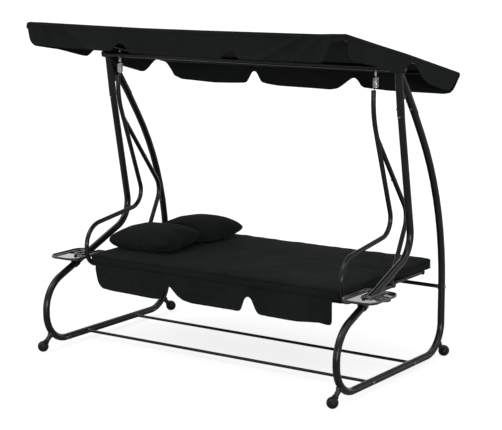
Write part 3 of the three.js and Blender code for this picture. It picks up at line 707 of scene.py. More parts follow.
def build_trays():
    vertices, faces, holes = tray_shell()
    right = mesh_object("tray_dish_right", (vertices, faces), TRAY_PLASTIC, None)
    fill_between(right, holes["top"], 1)
    fill_between(right, holes["bottom"], -1)
    right.data.set_sharp_from_angle(angle=TRAY_SHARP)
    points = [tuple(v.co) for v in right.data.vertices]
    polygons = [list(p.vertices) for p in right.data.polygons]
    mirror_image = mirrored((np.array(points), polygons))
    left = mesh_object("tray_dish_left", mirror_image, TRAY_PLASTIC, TRAY_SHARP)
    finished(right, "stand", ("tray_right",))
    finished(left, "stand", ("tray_left",))
    slope = math.atan2(POST_KNEE[1] - POST_SHIN[1], POST_KNEE[0] - POST_SHIN[0])
    z = POST_KNEE[1] + (CLAMP_Y - POST_KNEE[0]) * math.tan(slope)
    along = Vector((0, math.cos(slope), math.sin(slope)))
    inner, outer, half = LEG_R + 0.0004, LEG_R + 0.005, 0.014
    edge = 0.001
    clip = ring_lathed([(outer - edge, -half), (outer, -half + edge), (outer, half - edge),
                        (outer - edge, half), (inner, half), (inner, -half)], 40)
    for side, sign in SIDES:
        centre = Vector((sign * SIDE_X, CLAMP_Y, z))
        parts = [placed(clip, centre, along)]
        boss = [(0, 0), (0.0105, 0), (0.0105, 0.004), (0.0085, 0.006), (0.0085, 0.024), (0, 0.024)]
        parts.append(placed(lathed(boss, 28), (sign * SIDE_X, CLAMP_Y, z + LEG_R + 0.001)))
        parts.append(placed(lathed([(0, 0), (0.006, 0), (0.006, 0.010), (0.005, 0.011), (0, 0.011)], 24),
                            centre - Vector((sign * (LEG_R + 0.002), 0, 0)), (-sign, 0, 0)))
        plastic(f"tray_clip_{side}", joined(parts), "stand", f"tray_clamp_{side}")
        outside = centre + Vector((sign * (LEG_R + 0.0055), 0, 0))
        screw = [placed(carriage_bolt(0.0048), (sign * SIDE_X, CLAMP_Y, TRAY_Z + 0.0035)),
                 placed(carriage_bolt(0.0045), outside, (sign, 0, 0))]
        fastener(f"tray_screws_{side}", joined(screw), "stand")


# ---- hanging hardware ---------------------------------------------------------------------
def wire_path(points):
    """Stations along a smooth line through points."""
    points = [Vector(p) for p in points]
    stations = []
    for i, point in enumerate(points):
        before, after = points[max(i - 1, 0)], points[min(i + 1, len(points) - 1)]
        stations.append((point, (after - before).normalized()))
    return stations


def top_hook_points(x):
    """Round the eye's lower wire, then down the middle of the coil."""
    points = []
    for i in range(25):
        angle = math.radians(250 - 270 * i / 24)
        points.append((x, HANG_Y + HOOK_LOOP * math.cos(angle), HOOK_Z + HOOK_LOOP * math.sin(angle)))
    points += [(x, HANG_Y + 0.0045, COIL_TOP + 0.006), (x, HANG_Y + 0.0035, COIL_TOP + 0.002)]
    points += [(x + COIL_R * share, HANG_Y + 0.0035 * (1 - share), COIL_TOP - 0.001 - 0.0022 * share)
               for share in (0.3, 0.65, 0.9)]
    return points


def bottom_hook_points(x):
    """From the coil's last turn to the arm's top, where it is hooked through the tube."""
    points = [(x - COIL_R * share, HANG_Y, COIL_BOTTOM + 0.001 + 0.0022 * share)
              for share in (0.9, 0.65, 0.3)]
    top_y, top_z = ARM_TOP
    points += [(x, HANG_Y - 0.002, COIL_BOTTOM - 0.002), (x, HANG_Y - 0.010, COIL_BOTTOM - 0.006),
               (x, top_y + 0.008, top_z + 0.003), (x, top_y + 0.002, top_z - 0.004)]
    return points


def coil_points(x, turns=10.0, steps=26):
    count = int(turns * steps)
    points = []
    top, bottom = COIL_TOP - COIL_WIRE, COIL_BOTTOM + COIL_WIRE
    for i in range(count + 1):
        angle = 2 * math.pi * i / steps
        points.append((x + COIL_R * math.cos(angle), HANG_Y + COIL_R * math.sin(angle),
                       top + (bottom - top) * i / count))
    return points


def build_hangers():
    for side, sign in SIDES:
        x = sign * HANG_X
        eye = placed(wire_ring(EYE_RING, EYE_WIRE), (x, HANG_Y, EYE_Z), X_AXIS)
        shank_end = (x, HANG_Y, CROSSBAR_Z + CROSSBAR_R + 0.009)
        shank = straight((x, HANG_Y, EYE_Z + EYE_RING), shank_end, 0.0035, 18)
        under = placed(hex_nut(0.0065, 0.0045), (x, HANG_Y, CROSSBAR_Z - CROSSBAR_R + 0.001), (0, 0, -1))
        over = placed(hex_nut(0.0065, 0.005), (x, HANG_Y, CROSSBAR_Z + CROSSBAR_R - 0.0006))
        zinc(f"eye_{side}", joined([eye, shank]), "stand", f"eye_bolt_{side}")
        fastener(f"eye_nuts_{side}", joined([under, over]), "stand")
        top = swept(wire_path(top_hook_points(x)), HOOK_WIRE, 14, 0.0006)
        zinc(f"hook_top_{side}", top, "hanger", f"spring_hook_top_{side}")
        low = swept(wire_path(bottom_hook_points(x)), HOOK_WIRE, 14, 0.0006)
        zinc(f"hook_bottom_{side}", low, "seat", f"spring_hook_bottom_{side}")
        coil = mesh_object(f"coil_{side}", swept(wire_path(coil_points(x)), COIL_WIRE, 12, 0.0006), ZINC)
        finished(coil, None, (f"spring_{side}",))
        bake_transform(coil)


# ---- seat and backrest frames -------------------------------------------------------------
ARM_CORNERS = [(*ARM_TOP, 0), (-0.025, 1.358, 0.450), (0.198, 0.733, 0.093), (-0.320, 0.664, 0.125),
               (-0.320, SEAT_Z, 0.085), (0.210, SEAT_Z, 0)]
STRUT_CORNERS = [(0.017, 1.240, 0), (0.351, 0.801, 0.115), (0.171, SEAT_Z + 0.010, 0)]


ARM_BOLTS = ((0.044, 1.203), (0.198, 1.002), (0.330, 0.727), (-0.226, SEAT_Z))  # (y, z)


def end_plug(at, axis, radius):
    """A ribbed plastic plug in a tube's open end."""
    profile = [(0, -0.004), (radius - 0.001, -0.004), (radius + 0.0004, 0), (radius + 0.0002, 0.0018),
               (radius - 0.0022, 0.0032), (0, 0.0036)]
    return placed(lathed(profile, 28), at, axis)


def build_seat_frame():
    plugs, bolts = [], []
    for side, sign in SIDES:
        x = sign * HANG_X
        painted(f"arm_{side}", side_tube(x, ARM_CORNERS, ARM_R), "seat", f"hanger_arm_{side}")
        painted(f"strut_{side}", side_tube(x, STRUT_CORNERS, ARM_R), "seat", f"back_strut_{side}")
        plugs.append(end_plug((x, *ARM_TOP), (0, 0.02, 1), ARM_R))
        plugs.append(end_plug((x, 0.210, SEAT_Z), Y_AXIS, ARM_R))
        for y, z in ARM_BOLTS:
            bolts.append(placed(carriage_bolt(0.005), (x + sign * ARM_R, y, z), (sign, 0, 0)))
            bolts.append(placed(hex_nut(0.0055, 0.004), (x - sign * ARM_R, y, z), (-sign, 0, 0)))
        outer = placed(hex_nut(0.0085, 0.006), (x + sign * ARM_R, HINGE_Y, SEAT_Z), (sign, 0, 0))
        pin_start = (sign * (BACK_X - ARM_R - 0.006), HINGE_Y, SEAT_Z)
        pin = straight(pin_start, (x + sign * ARM_R, HINGE_Y, SEAT_Z), 0.005)
        spacer_at = (sign * (BACK_X + ARM_R + 0.0002), HINGE_Y, SEAT_Z)
        spacer = placed(rod(0, 0.0045, 0.010), spacer_at, (sign, 0, 0))
        fastener(f"hinge_pin_{side}", joined([outer, pin, spacer]), "seat", f"hinge_bolt_{side}")
    plastic("tube_plugs_seat", joined(plugs), "seat")
    fastener("seat_bolts", joined(bolts), "seat")
    reach = HANG_X - ARM_R + 0.002
    for end, _ in ENDS:
        y = SEAT_RAILS_Y[end]
        tube = straight((-reach, y, SEAT_Z), (reach, y, SEAT_Z), ARM_R)
        beads = [weld_bead((sign * (reach - 0.0015), y, SEAT_Z), X_AXIS, ARM_R, 0.002) for _, sign in SIDES]
        painted(f"rail_seat_{end}", joined([tube, *beads]), "seat", f"seat_{end}_rail")


def build_backrest_frame():
    plugs = []
    for side, sign in SIDES:
        x = sign * BACK_X
        tube = straight((x, HINGE_Y - ARM_R, SEAT_Z), (x, BACK_RAILS_Y["top"] - ARM_R + 0.002, SEAT_Z), ARM_R)
        painted(f"back_side_{side}", tube, "backrest", f"backrest_side_rail_{side}")
        plugs.append(end_plug((x, HINGE_Y - ARM_R, SEAT_Z), -Y_AXIS, ARM_R - 0.0006))
    reach = {"lower": BACK_X - ARM_R + 0.002, "top": BACK_X + ARM_R}
    for name, y in BACK_RAILS_Y.items():
        tube = straight((-reach[name], y, SEAT_Z), (reach[name], y, SEAT_Z), ARM_R)
        painted(f"back_rail_{name}", tube, "backrest", f"backrest_{name}_rail")
    for sign in (-1, 1):
        plugs.append(end_plug((sign * reach["top"], BACK_RAILS_Y["top"], SEAT_Z), (sign, 0, 0), ARM_R))
    plastic("tube_plugs_back", joined(plugs), "backrest")


# ---- cloth on grids -----------------------------------------------------------------------
def thickened(made, thickness, offset=-1.0):
    solid = made.modifiers.new("cloth_thickness", "SOLIDIFY")
    solid.thickness, solid.offset = thickness, offset
    return baked(made)


def grid_faces(rows, columns):
    return [[r * columns + c, r * columns + c + 1, (r + 1) * columns + c + 1, (r + 1) * columns + c]
            for r in range(rows - 1) for c in range(columns - 1)]


def grid_border(columns, rows, repeats):
    """The points round a grid's edge, with repeats more of each corner, so that a round corner fits."""
    last_row = (rows - 1) * columns
    loop = list(range(columns)) + [columns - 1] * repeats
    loop += [r * columns + columns - 1 for r in range(rows)] + [rows * columns - 1] * repeats
    loop += [last_row + c for c in reversed(range(columns))] + [last_row] * repeats
    return loop + [r * columns for r in reversed(range(rows))] + [0] * repeats


def band_faces(upper, lower):
    """Faces from one closed row down to the next; where two points of a row are one, a triangle."""
    faces = []
    for k in range(len(upper)):
        n = (k + 1) % len(upper)
        corners = [upper[k], lower[k], lower[n], upper[n]]
        if upper[k] == upper[n]:
            corners = corners[:3]
        elif lower[k] == lower[n]:
            corners = [upper[k], lower[k], upper[n]]
        faces.append(corners)
    return faces


def spaced(start, end, coarse, fine=(), fine_step=0.003):
    """Places from start to end, coarse apart, closer together inside the fine (from, to) stretches."""
    places, at = [start], start
    while at < end - 1e-9:
        step = fine_step if any(a <= at < b for a, b in fine) else coarse
        limits = [a for a, _ in fine if a > at + 1e-9] + [end]
        at = min(at + step, min(limits))
        places.append(at)
    return places


def through(points, value):
    """The height at value on straight runs through (place, height) points."""
    places, heights = zip(*points)
    return float(np.interp(value, places, heights))


def eased(points, width=0.006):
    """through(), averaged over a short width so its corners are round."""
    places, heights = (np.array(column, float) for column in zip(*points))
    offsets = np.linspace(-width, width, 7)

    def height(value):
        return float(np.mean(np.interp(value + offsets, places, heights)))

    return height


# ---- canopy -------------------------------------------------------------------------------
ROLL_X, ROLL_Y, ROLL_Z = 0.010, 0.010, 0.011  # how the cloth rolls over the bars at the edge
CLOTH_T = 0.0016
FOLDED_CLOTH = {"hem": 0.0009, "seam": 0.0011}  # how far the doubled cloth stands out
CANOPY_HOLLOW, CORNER_PULL = 0.011, 0.0042  # the sag between the bars and the pulls' height
BAR_INSET, ELBOW_BEND = 0.013, 0.030  # the bars lie this far inside the cloth's edge

# How far each valance hangs below the canopy's top, along it. Notches part it into flaps.
FRONT_DROP = [(-0.975, 0.034), (-0.966, 0.052), (-0.956, 0.085), (-0.940, 0.108), (-0.912, 0.126),
              (-0.700, 0.130), (-0.405, 0.131), (-0.388, 0.122), (-0.374, 0.102), (-0.356, 0.088),
              (-0.340, 0.085), (-0.324, 0.088), (-0.306, 0.102), (-0.292, 0.122), (-0.270, 0.134),
              (0.000, 0.138), (0.290, 0.138), (0.304, 0.130), (0.316, 0.114), (0.332, 0.102),
              (0.348, 0.099), (0.364, 0.102), (0.380, 0.114), (0.392, 0.130), (0.406, 0.138),
              (0.868, 0.138), (0.880, 0.134), (0.886, 0.120), (0.896, 0.070), (0.904, 0.044),
              (0.912, 0.036), (0.975, 0.034)]
REAR_DROP = [(-0.975, 0.024), (-0.955, 0.034), (-0.920, 0.072), (-0.898, 0.102), (-0.842, 0.120),
             (-0.610, 0.126), (-0.500, 0.122), (-0.395, 0.115), (-0.376, 0.108), (-0.360, 0.085),
             (-0.340, 0.052), (-0.322, 0.046), (-0.306, 0.056), (-0.291, 0.084), (-0.274, 0.106),
             (-0.230, 0.114), (-0.160, 0.120), (0.190, 0.124), (0.235, 0.115), (0.270, 0.093),
             (0.305, 0.068), (0.325, 0.055), (0.345, 0.053), (0.364, 0.067), (0.383, 0.092), (0.402, 0.102),
             (0.440, 0.105), (0.560, 0.112), (0.890, 0.115), (0.930, 0.108), (0.950, 0.086), (0.966, 0.050),
             (0.975, 0.026)]
SIDE_DROP = [(-0.6115, 0.034), (-0.603, 0.040), (-0.595, 0.064), (-0.582, 0.090), (-0.563, 0.108),
             (-0.537, 0.118), (-0.440, 0.113), (-0.343, 0.108), (-0.240, 0.108), (-0.110, 0.111),
             (-0.065, 0.108), (-0.045, 0.094), (-0.020, 0.071), (0.005, 0.048), (0.030, 0.036),
             (0.060, 0.038), (0.096, 0.053), (0.150, 0.084), (0.184, 0.101), (0.240, 0.112), (0.430, 0.116),
             (0.460, 0.110), (0.490, 0.088), (0.520, 0.055), (0.545, 0.032), (0.5603, 0.024)]
CORNER_DROP = {"front": 0.034, "rear": 0.024}
CORNER_STEPS = 5
LEFT_SHIFT = 0.05  # the left valance's arch and rear end lie this much further forward
LEFT_FLARE = 0.011  # how far the cloth stands out at the front left corner

# How far the cloth's edges stand above the bars, from one end of each edge to the other.
FRONT_LIFT = [(-1.0, 0.016), (-0.5, 0.006), (-0.1, -0.002), (0.85, -0.004), (1.0, 0.001)]
REAR_LIFT = [(-1.0, 0.006), (-0.4, 0.001), (0.4, 0.001), (1.0, 0.007)]
SIDE_LIFT = [(-1.0, 0.006), (-0.4, 0.008), (0.0, 0.011), (0.5, 0.009), (1.0, 0.007)]


def canopy_lift(x, y):
    """The height added over the whole panel by its four lifted edges."""
    u, v = x / CANOPY_X, (2 * y - CANOPY_FRONT - CANOPY_REAR) / (CANOPY_REAR - CANOPY_FRONT)
    s, t = (u + 1) / 2, (v + 1) / 2
    front, rear, side = through(FRONT_LIFT, u), through(REAR_LIFT, u), through(SIDE_LIFT, v)
    corners = ((1 - s) * (1 - t) * FRONT_LIFT[0][1] + s * (1 - t) * FRONT_LIFT[-1][1]
               + (1 - s) * t * REAR_LIFT[0][1] + s * t * REAR_LIFT[-1][1])
    return (1 - t) * front + t * rear + side - corners


def canopy_top_height(x, y):
    """The top panel: taut over the bars, hanging a little between them, with pulls at the corners."""
    u, v = x / (CANOPY_X - ROLL_X), (2 * y - CANOPY_FRONT - CANOPY_REAR) / (CANOPY_REAR - CANOPY_FRONT)
    hollow = CANOPY_HOLLOW * (1 - min(1, abs(u)) ** 4) * (1 - min(1, abs(v)) ** 2.4)
    pulls = 0.0
    for cx in (-CANOPY_X, CANOPY_X):
        for cy in (CANOPY_FRONT, CANOPY_REAR):
            dx, dy = x - cx, y - cy
            r = math.hypot(dx, dy)
            angle = math.atan2(abs(dy), abs(dx))
            fade = math.exp(-r / 0.22) * min(1, max(0, r - 0.03) / 0.06)
            pulls += CORNER_PULL * fade * math.sin(15 * angle + 1.7 * ripple(4 * x, 4 * y, 0, 1))
    edge = min(1, (1 - min(1, abs(u))) / 0.04) * min(1, (1 - min(1, abs(v))) / 0.06)
    taut = edge * (pulls - hollow - 0.0022 * ripple(2.6 * x, 2.6 * y, 0, 2))
    return CANOPY_TOP + canopy_lift(x, y) + taut


def valance_swing(along, drop, full, seed):
    """How far the hanging cloth stands out of its plane."""
    hang = max(0.0, drop - 0.02) / full
    slow = ripple(2.3 * along, 0.6, 0, seed)
    quick = ripple(8.5 * along + 1.4 * slow, 2.2 * drop, 0, seed + 3)
    creases = ripple(26 * along, 7 * drop, 0, seed + 5)
    return hang ** 1.3 * (0.0085 * slow + 0.0060 * quick + 0.0012 * creases) + corner_folds(along, drop, seed)


CORNER_FOLDS = (  # distance from the middle, slant, width and height of each
    (0.885, 0.10, 0.013, 0.008),
    (0.850, 0.9, 0.020, 0.013),
    (0.78, 1.9, 0.032, 0.011),
)


def corner_folds(along, drop, seed):
    """The slanting folds in the front valance, where it is pulled to the canopy's corners."""
    if seed != 1:
        return 0.0
    folds = 0.0
    for start, lean, width, height in CORNER_FOLDS:
        folds += height * math.exp(-((abs(along) - start + lean * drop) / width) ** 2)
    return folds * min(1.0, drop / 0.05)


def canopy_columns(xs, ys):
    """Every column round the edge: inner corner, outward direction, drop, place along, seed."""
    x0, y0, y1 = xs[-1], ys[0], ys[-1]
    fronts, rears, flanks = eased(FRONT_DROP), eased(REAR_DROP), eased(SIDE_DROP)

    def left_flank(y):
        return flanks(y + LEFT_SHIFT * min(1, max(0, (y + 0.45) / 0.2)))

    columns = [(x, y0, (0, -1), fronts(x), x, 1) for x in xs]
    columns += canopy_corner(x0, y0, -90, "front")
    columns += [(x0, y, (1, 0), flanks(y), y, 2) for y in ys]
    columns += canopy_corner(x0, y1, 0, "rear")
    columns += [(x, y1, (0, 1), rears(x), x, 3) for x in reversed(xs)]
    columns += canopy_corner(-x0, y1, 90, "rear")
    columns += [(-x0, y, (-1, 0), left_flank(y), y, 4) for y in reversed(ys)]
    columns += canopy_corner(-x0, y0, 180, "front")
    return columns


def canopy_corner(x, y, start, end):
    """The columns that carry the cloth round a corner, from the direction start, a quarter turn on."""
    angles = [math.radians(start + 90 * k / CORNER_STEPS) for k in range(1, CORNER_STEPS)]
    return [(x, y, (math.cos(a), math.sin(a)), CORNER_DROP[end], 0.0, 0) for a in angles]


def canopy_row(column, depth_share, part):
    """A point of a column: on the roll over the bar, or on the hanging valance."""
    x, y, (nx, ny), drop, along, seed = column
    top = CANOPY_TOP + canopy_lift(x, y)
    flare = LEFT_FLARE * math.exp(-((x + CANOPY_X) ** 2 + (y - CANOPY_FRONT) ** 2) / 0.02) if x < 0 else 0.0
    if part == "roll":
        angle = depth_share * math.pi / 2
        out = flare * depth_share
        return (x + nx * (out + ROLL_X * math.sin(angle)), y + ny * (out + ROLL_Y * math.sin(angle)),
                top - ROLL_Z * (1 - math.cos(angle)))
    low = ROLL_Z + (drop - ROLL_Z) * depth_share
    out = flare + (valance_swing(along, low, 0.13, seed) if seed else 0.0)
    if seed == 3:
        out += 0.20 * (low - ROLL_Z)
    out += FOLDED_CLOTH.get(part, 0.0)
    return x + nx * (ROLL_X + out), y + ny * (ROLL_Y + out), top - low


def canopy_sheet():
    features = [(-0.97, -0.87), (-0.42, -0.27), (0.27, 0.42), (0.86, 0.97)]
    x0 = CANOPY_X - ROLL_X
    xs = spaced(-x0, x0, 0.013, features, 0.004)
    ys = spaced(CANOPY_FRONT + ROLL_Y, CANOPY_REAR - ROLL_Y, 0.013,
                [(-0.61, -0.51), (-0.07, 0.06), (0.46, 0.56)], 0.004)
    nx, ny = len(xs), len(ys)
    vertices = [(x, y, canopy_top_height(x, y)) for y in ys for x in xs]
    faces = grid_faces(ny, nx)
    columns = canopy_columns(xs, ys)
    plan = [("roll", share) for share in (0.2, 0.4, 0.6, 0.8, 1.0)]
    plan += [("valance", 0.02), ("seam", 0.035), ("seam", 0.065), ("valance", 0.08)]
    plan += [("valance", share) for share in np.linspace(0.16, 0.86, 11)]
    plan += [("valance", 0.885), ("hem", 0.9), ("hem", 0.95), ("hem", 1.0)]
    previous = grid_border(nx, ny, CORNER_STEPS - 1)
    for part, share in plan:
        start = len(vertices)
        vertices += [canopy_row(column, share, part) for column in columns]
        row = list(range(start, len(vertices)))
        faces += band_faces(previous, row)
        previous = row
    return vertices, faces


def elbow(x, y, sign, way):
    """A round corner between the canopy's end bar and its side bar."""
    arm = ELBOW_BEND * 1.6
    path = bent_path([((x - sign * arm, y, CANOPY_BAR_Z), 0), ((x, y, CANOPY_BAR_Z), ELBOW_BEND),
                      ((x, y - way * arm, CANOPY_BAR_Z), 0)])
    return swept(path, CANOPY_BAR_R + 0.0012, 24)


def build_canopy_frame():
    front = CANOPY_FRONT + BAR_INSET
    rear = CANOPY_REAR - BAR_INSET
    reach = CANOPY_SIDE_BAR_X - ELBOW_BEND
    for name, y in (("front", front), ("rear", rear)):
        bar = straight((-reach, y, CANOPY_BAR_Z), (reach, y, CANOPY_BAR_Z), CANOPY_BAR_R)
        painted(f"roof_bar_{name}", tilted(bar), "canopy", f"canopy_{name}_bar")
    elbows = []
    for side, sign in SIDES:
        x = sign * CANOPY_SIDE_BAR_X
        start, end = (x, front + ELBOW_BEND, CANOPY_BAR_Z), (x, rear - ELBOW_BEND, CANOPY_BAR_Z)
        bar = straight(start, end, CANOPY_BAR_R)
        painted(f"roof_bar_{side}", tilted(bar), "canopy", f"canopy_side_bar_{side}")
        elbows += [elbow(x, front, sign, -1), elbow(x, rear, sign, 1)]
        build_knob(side, sign)
        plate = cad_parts[f"canopy_pivot_plate_{side}"]
        plate.data.materials.clear()
        plate.data.materials.append(PAINT)
        bevel = plate.modifiers.new("soft_edges", "BEVEL")
        bevel.width, bevel.segments, bevel.limit_method = 0.0008, 2, "ANGLE"
    painted("roof_elbows", tilted(joined(elbows)), "canopy")


def build_knob(side, sign):
    """A five-lobed hand knob with a domed face and a dull zinc screw end."""
    rows = []
    for share, height in ((0.80, 0.0), (0.96, 0.0012), (1.0, 0.004), (1.0, 0.011), (0.96, 0.0135),
                          (0.86, 0.0152), (0.55, 0.0160), (0.30, 0.0156)):
        row = []
        for a in full_turn(90):
            r = (KNOB_R + KNOB_LOBE * share * math.cos(5 * a)) * share
            row.append((r * math.cos(a), r * math.sin(a), height))
        rows.append(row)
    at = (sign * KNOB_X, HUB_Y, HUB_Z)
    head = placed(rings(rows), at, (sign, 0, 0))
    hub = placed(rod(-0.0046, 0.001, 0.004), at, (sign, 0, 0))
    plastic(f"knob_{side}_grip", joined([head, hub]), f"knob_{side}", f"canopy_knob_{side}")
    cap = placed(lathed([(0, 0.0150), (0.0045, 0.0150), (0.0045, 0.0168), (0.0038, 0.0175), (0, 0.0178)], 24),
                 at, (sign, 0, 0))
    fastener(f"knob_{side}_screw", cap, f"knob_{side}")


def build_canopy():
    build_canopy_frame()
    roof = mesh_object("canopy_cover", tilted(canopy_sheet()), CANOPY_CLOTH, None)
    thickened(roof, CLOTH_T)
    finished(roof, "canopy", ("canopy_fabric",))


# ---- slings and skirt ---------------------------------------------------------------------
def sling_profile(y0, y1):
    """The cloth's line over two rails, sewn back on itself under each, from front to rear."""
    r = ARM_R + 0.0012
    line = [(y0 + 0.055, SEAT_Z - r + 0.001)]
    line += [(y0 + r * math.cos(a), SEAT_Z + r * math.sin(a)) for a in np.radians(np.arange(270, 89, -15))]
    steps = 16
    line += [(y0 + (y1 - y0) * k / steps, SEAT_Z + r - 0.006 * math.sin(math.pi * k / steps) ** 0.7)
             for k in range(1, steps)]
    line += [(y1 + r * math.cos(a), SEAT_Z + r * math.sin(a)) for a in np.radians(np.arange(90, -91, -15))]
    line += [(y1 - 0.055, SEAT_Z - r + 0.001)]
    return line


def build_sling(name, y0, y1, body, node):
    line = sling_profile(y0, y1)
    xs = np.linspace(-SLING_X, SLING_X, 90)
    vertices = [(x, y, z + 0.0006 * ripple(9 * x, 9 * y, 0, 8)) for y, z in line for x in xs]
    sheet = mesh_object(name, (vertices, grid_faces(len(line), len(xs))), SLING_CLOTH, None)
    thickened(sheet, 0.0011, 0.0)
    finished(sheet, body, (node,))


SKIRT_Y, SKIRT_X = -0.316, 0.765
SKIRT_DROP = 0.134  # from the mattress's seam to the hem
SKIRT_HEM_LINE = [(-0.765, 0.452), (-0.760, 0.400), (-0.750, 0.362), (-0.735, 0.344), (-0.716, 0.332),
                  (-0.650, 0.326), (-0.370, 0.322), (-0.325, 0.324), (-0.300, 0.338), (-0.284, 0.366),
                  (-0.272, 0.390), (-0.256, 0.402), (-0.244, 0.398), (-0.226, 0.380), (-0.200, 0.358),
                  (-0.165, 0.339), (-0.110, 0.328), (0.150, 0.328), (0.192, 0.327), (0.210, 0.336),
                  (0.222, 0.362), (0.234, 0.396), (0.250, 0.411), (0.264, 0.412), (0.278, 0.402),
                  (0.290, 0.380), (0.306, 0.350), (0.324, 0.332), (0.350, 0.327), (0.560, 0.323),
                  (0.610, 0.328), (0.690, 0.335), (0.748, 0.330), (0.760, 0.336), (0.765, 0.352)]


def skirt_seam(x):
    """Where the skirt is sewn into the mattress's lower front seam: (y, z)."""
    _, y, z = mattress_point(x, MATTRESS_FRONT + MATTRESS_INSET, SEAM_LEVEL)
    return y - 0.88 * MATTRESS_INSET, z


def build_skirt():
    """The cloth that hangs from the mattress's front seam in three flaps."""
    hem_line = eased(SKIRT_HEM_LINE, 0.005)
    xs = spaced(-SKIRT_X, SKIRT_X, 0.009, [(-0.77, -0.70), (-0.34, -0.10), (0.15, 0.35), (0.74, 0.77)], 0.004)
    shares = [0, 0.03, 0.06] + list(np.linspace(0.14, 0.86, 12)) + [0.89, 0.9, 0.95, 1.0]
    vertices = []
    for share in shares:
        for x in xs:
            low = hem_line(x)
            seam_y, seam_z = skirt_seam(x)
            z = seam_z + (low - seam_z) * share
            drop = seam_z - z
            plane_y = seam_y + (SKIRT_Y - seam_y) * min(1.0, drop / 0.03) ** 0.7
            hang = (drop / SKIRT_DROP) ** 1.2
            swing = 0.010 * ripple(2.4 * x, 0, 0, 11) + 0.006 * ripple(8.2 * x, 3 * drop, 0, 12)
            swing += 0.0014 * ripple(30 * x, 8 * drop, 0, 13)
            fold = 0.006 * math.exp(-((x - 0.735 - 0.1 * drop) / 0.011) ** 2)
            fold += 0.005 * math.exp(-((x - 0.335 - 0.35 * (drop - 0.06)) / 0.013) ** 2)
            hem = FOLDED_CLOTH["hem"] if share > 0.89 else 0.0
            vertices.append((x, plane_y - hang * (swing - fold) - hem, z))
    skirt = mesh_object("front_skirt", (vertices, grid_faces(len(shares), len(xs))), CUSHION_CLOTH, None)
    skirt.data.flip_normals()
    thickened(skirt, 0.0015)
    finished(skirt, "seat", ("seat_skirt",))


# ---- mattress and pillows -----------------------------------------------------------------
MATTRESS_X, MATTRESS_FRONT, MATTRESS_REAR = 0.803, -0.312, 0.597
MATTRESS_LOW, MATTRESS_HIGH = 0.4622, 0.514
MATTRESS_INSET = 0.020  # how far its rounded side reaches in from the outline
SEAM_LEVEL = 0.16  # where its lower seam runs, from 0 (bottom) to 1 (top)
MATTRESS_CROWN, MATTRESS_PUCKER = 0.0125, 0.0048  # the swell of its middle, the creases at its seams
PILLOWS = {  # centre x and y, width, depth, how square its outline is, how full its section is, body
    "front": (-0.612, 0.022, 0.430, 0.370, 9, (2.1, 0.57), "loose_pillow"),
    "rear": (-0.565, 0.392, 0.398, 0.388, 7, (1.8, 0.62), "backrest"),
}
PILLOW_HEIGHT = 0.152
PILLOW_REST, PILLOW_SINK, PILLOW_SOFT = 0.0055, 0.020, 0.012  # how it lies: gap, weight, rounding
PILLOW_SLIDE = 0.148  # how far forward the raised backrest pushes the front pillow


def mattress_edge(x, y):
    """How the mattress's outline draws in between its corners and bulges past the arms behind."""
    u, v = x / MATTRESS_X, (2 * y - MATTRESS_FRONT - MATTRESS_REAR) / (MATTRESS_REAR - MATTRESS_FRONT)
    behind = 1 / (1 + math.exp((0.30 - y) / 0.03))
    wide = (0.034 * behind - 0.006 * (1 - abs(v) ** 3)) * abs(u) ** 6
    wave = 0.003 * ripple(4 * x, 3 * y, 0, 19) + 0.0022 * ripple(12 * x, 9 * y, 0, 18)
    wide += wave * abs(u) ** 12
    deep = (0.010 * (v > 0) - 0.008 * (1 - abs(u) ** 8) + wave) * abs(v) ** 6
    return x + math.copysign(wide, x), y + math.copysign(deep, v)


def pressed(x, y):
    """From 0 to 1, where a pillow's weight flattens the mattress, along the front pillow's way as well."""
    most = 0.0
    for centre_x, centre_y, width, depth, _, _, body in PILLOWS.values():
        slide = PILLOW_SLIDE / 2 if body == "loose_pillow" else 0.0
        along = max(0.0, abs(y - centre_y + slide) - slide)
        distance = math.hypot((x - centre_x) / (width * 0.5), along / (depth * 0.5))
        most = max(most, 1 / (1 + math.exp(12 * (distance - 0.98))))
    return most


def mattress_point(x, y, level):
    """A point of the mattress at a level from 0 (bottom) to 1 (top)."""
    px, py = mattress_edge(x, y)
    edge = min(MATTRESS_X - abs(x), y - MATTRESS_FRONT, MATTRESS_REAR - y)
    crown = MATTRESS_CROWN * (1 - math.exp(-max(edge, 0) / 0.050))
    soft = 0.0040 * ripple(2.7 * x, 4.0 * y, 0, 20) + 0.0026 * ripple(7 * x, 8 * y, 0, 21)
    along = x if min(y - MATTRESS_FRONT, MATTRESS_REAR - y) < MATTRESS_X - abs(x) else y
    stray = 0.5 * ripple(3 * x, 3 * y, 0, 23)
    creases = ripple(17 * along + 2 * stray, 5 * edge + stray, 0, 22)
    pucker = MATTRESS_PUCKER * math.exp(-max(edge, 0) / 0.045) * creases
    fold = 0.0010 * math.exp(-((y - HINGE_Y) / 0.030) ** 2)
    high = MATTRESS_HIGH + crown + soft + pucker - fold
    high += (MATTRESS_HIGH + 0.0035 - high) * pressed(x, y)
    high += 0.005 * max(0.0, (y - HINGE_Y) / (MATTRESS_REAR - HINGE_Y)) ** 2
    corner = math.exp(-((MATTRESS_X - abs(x)) / 0.05) ** 2 - ((y - MATTRESS_FRONT) / 0.03) ** 2)
    low = MATTRESS_LOW + 0.2 * pucker - 0.010 * corner
    return px, py, low + (high - low) * level


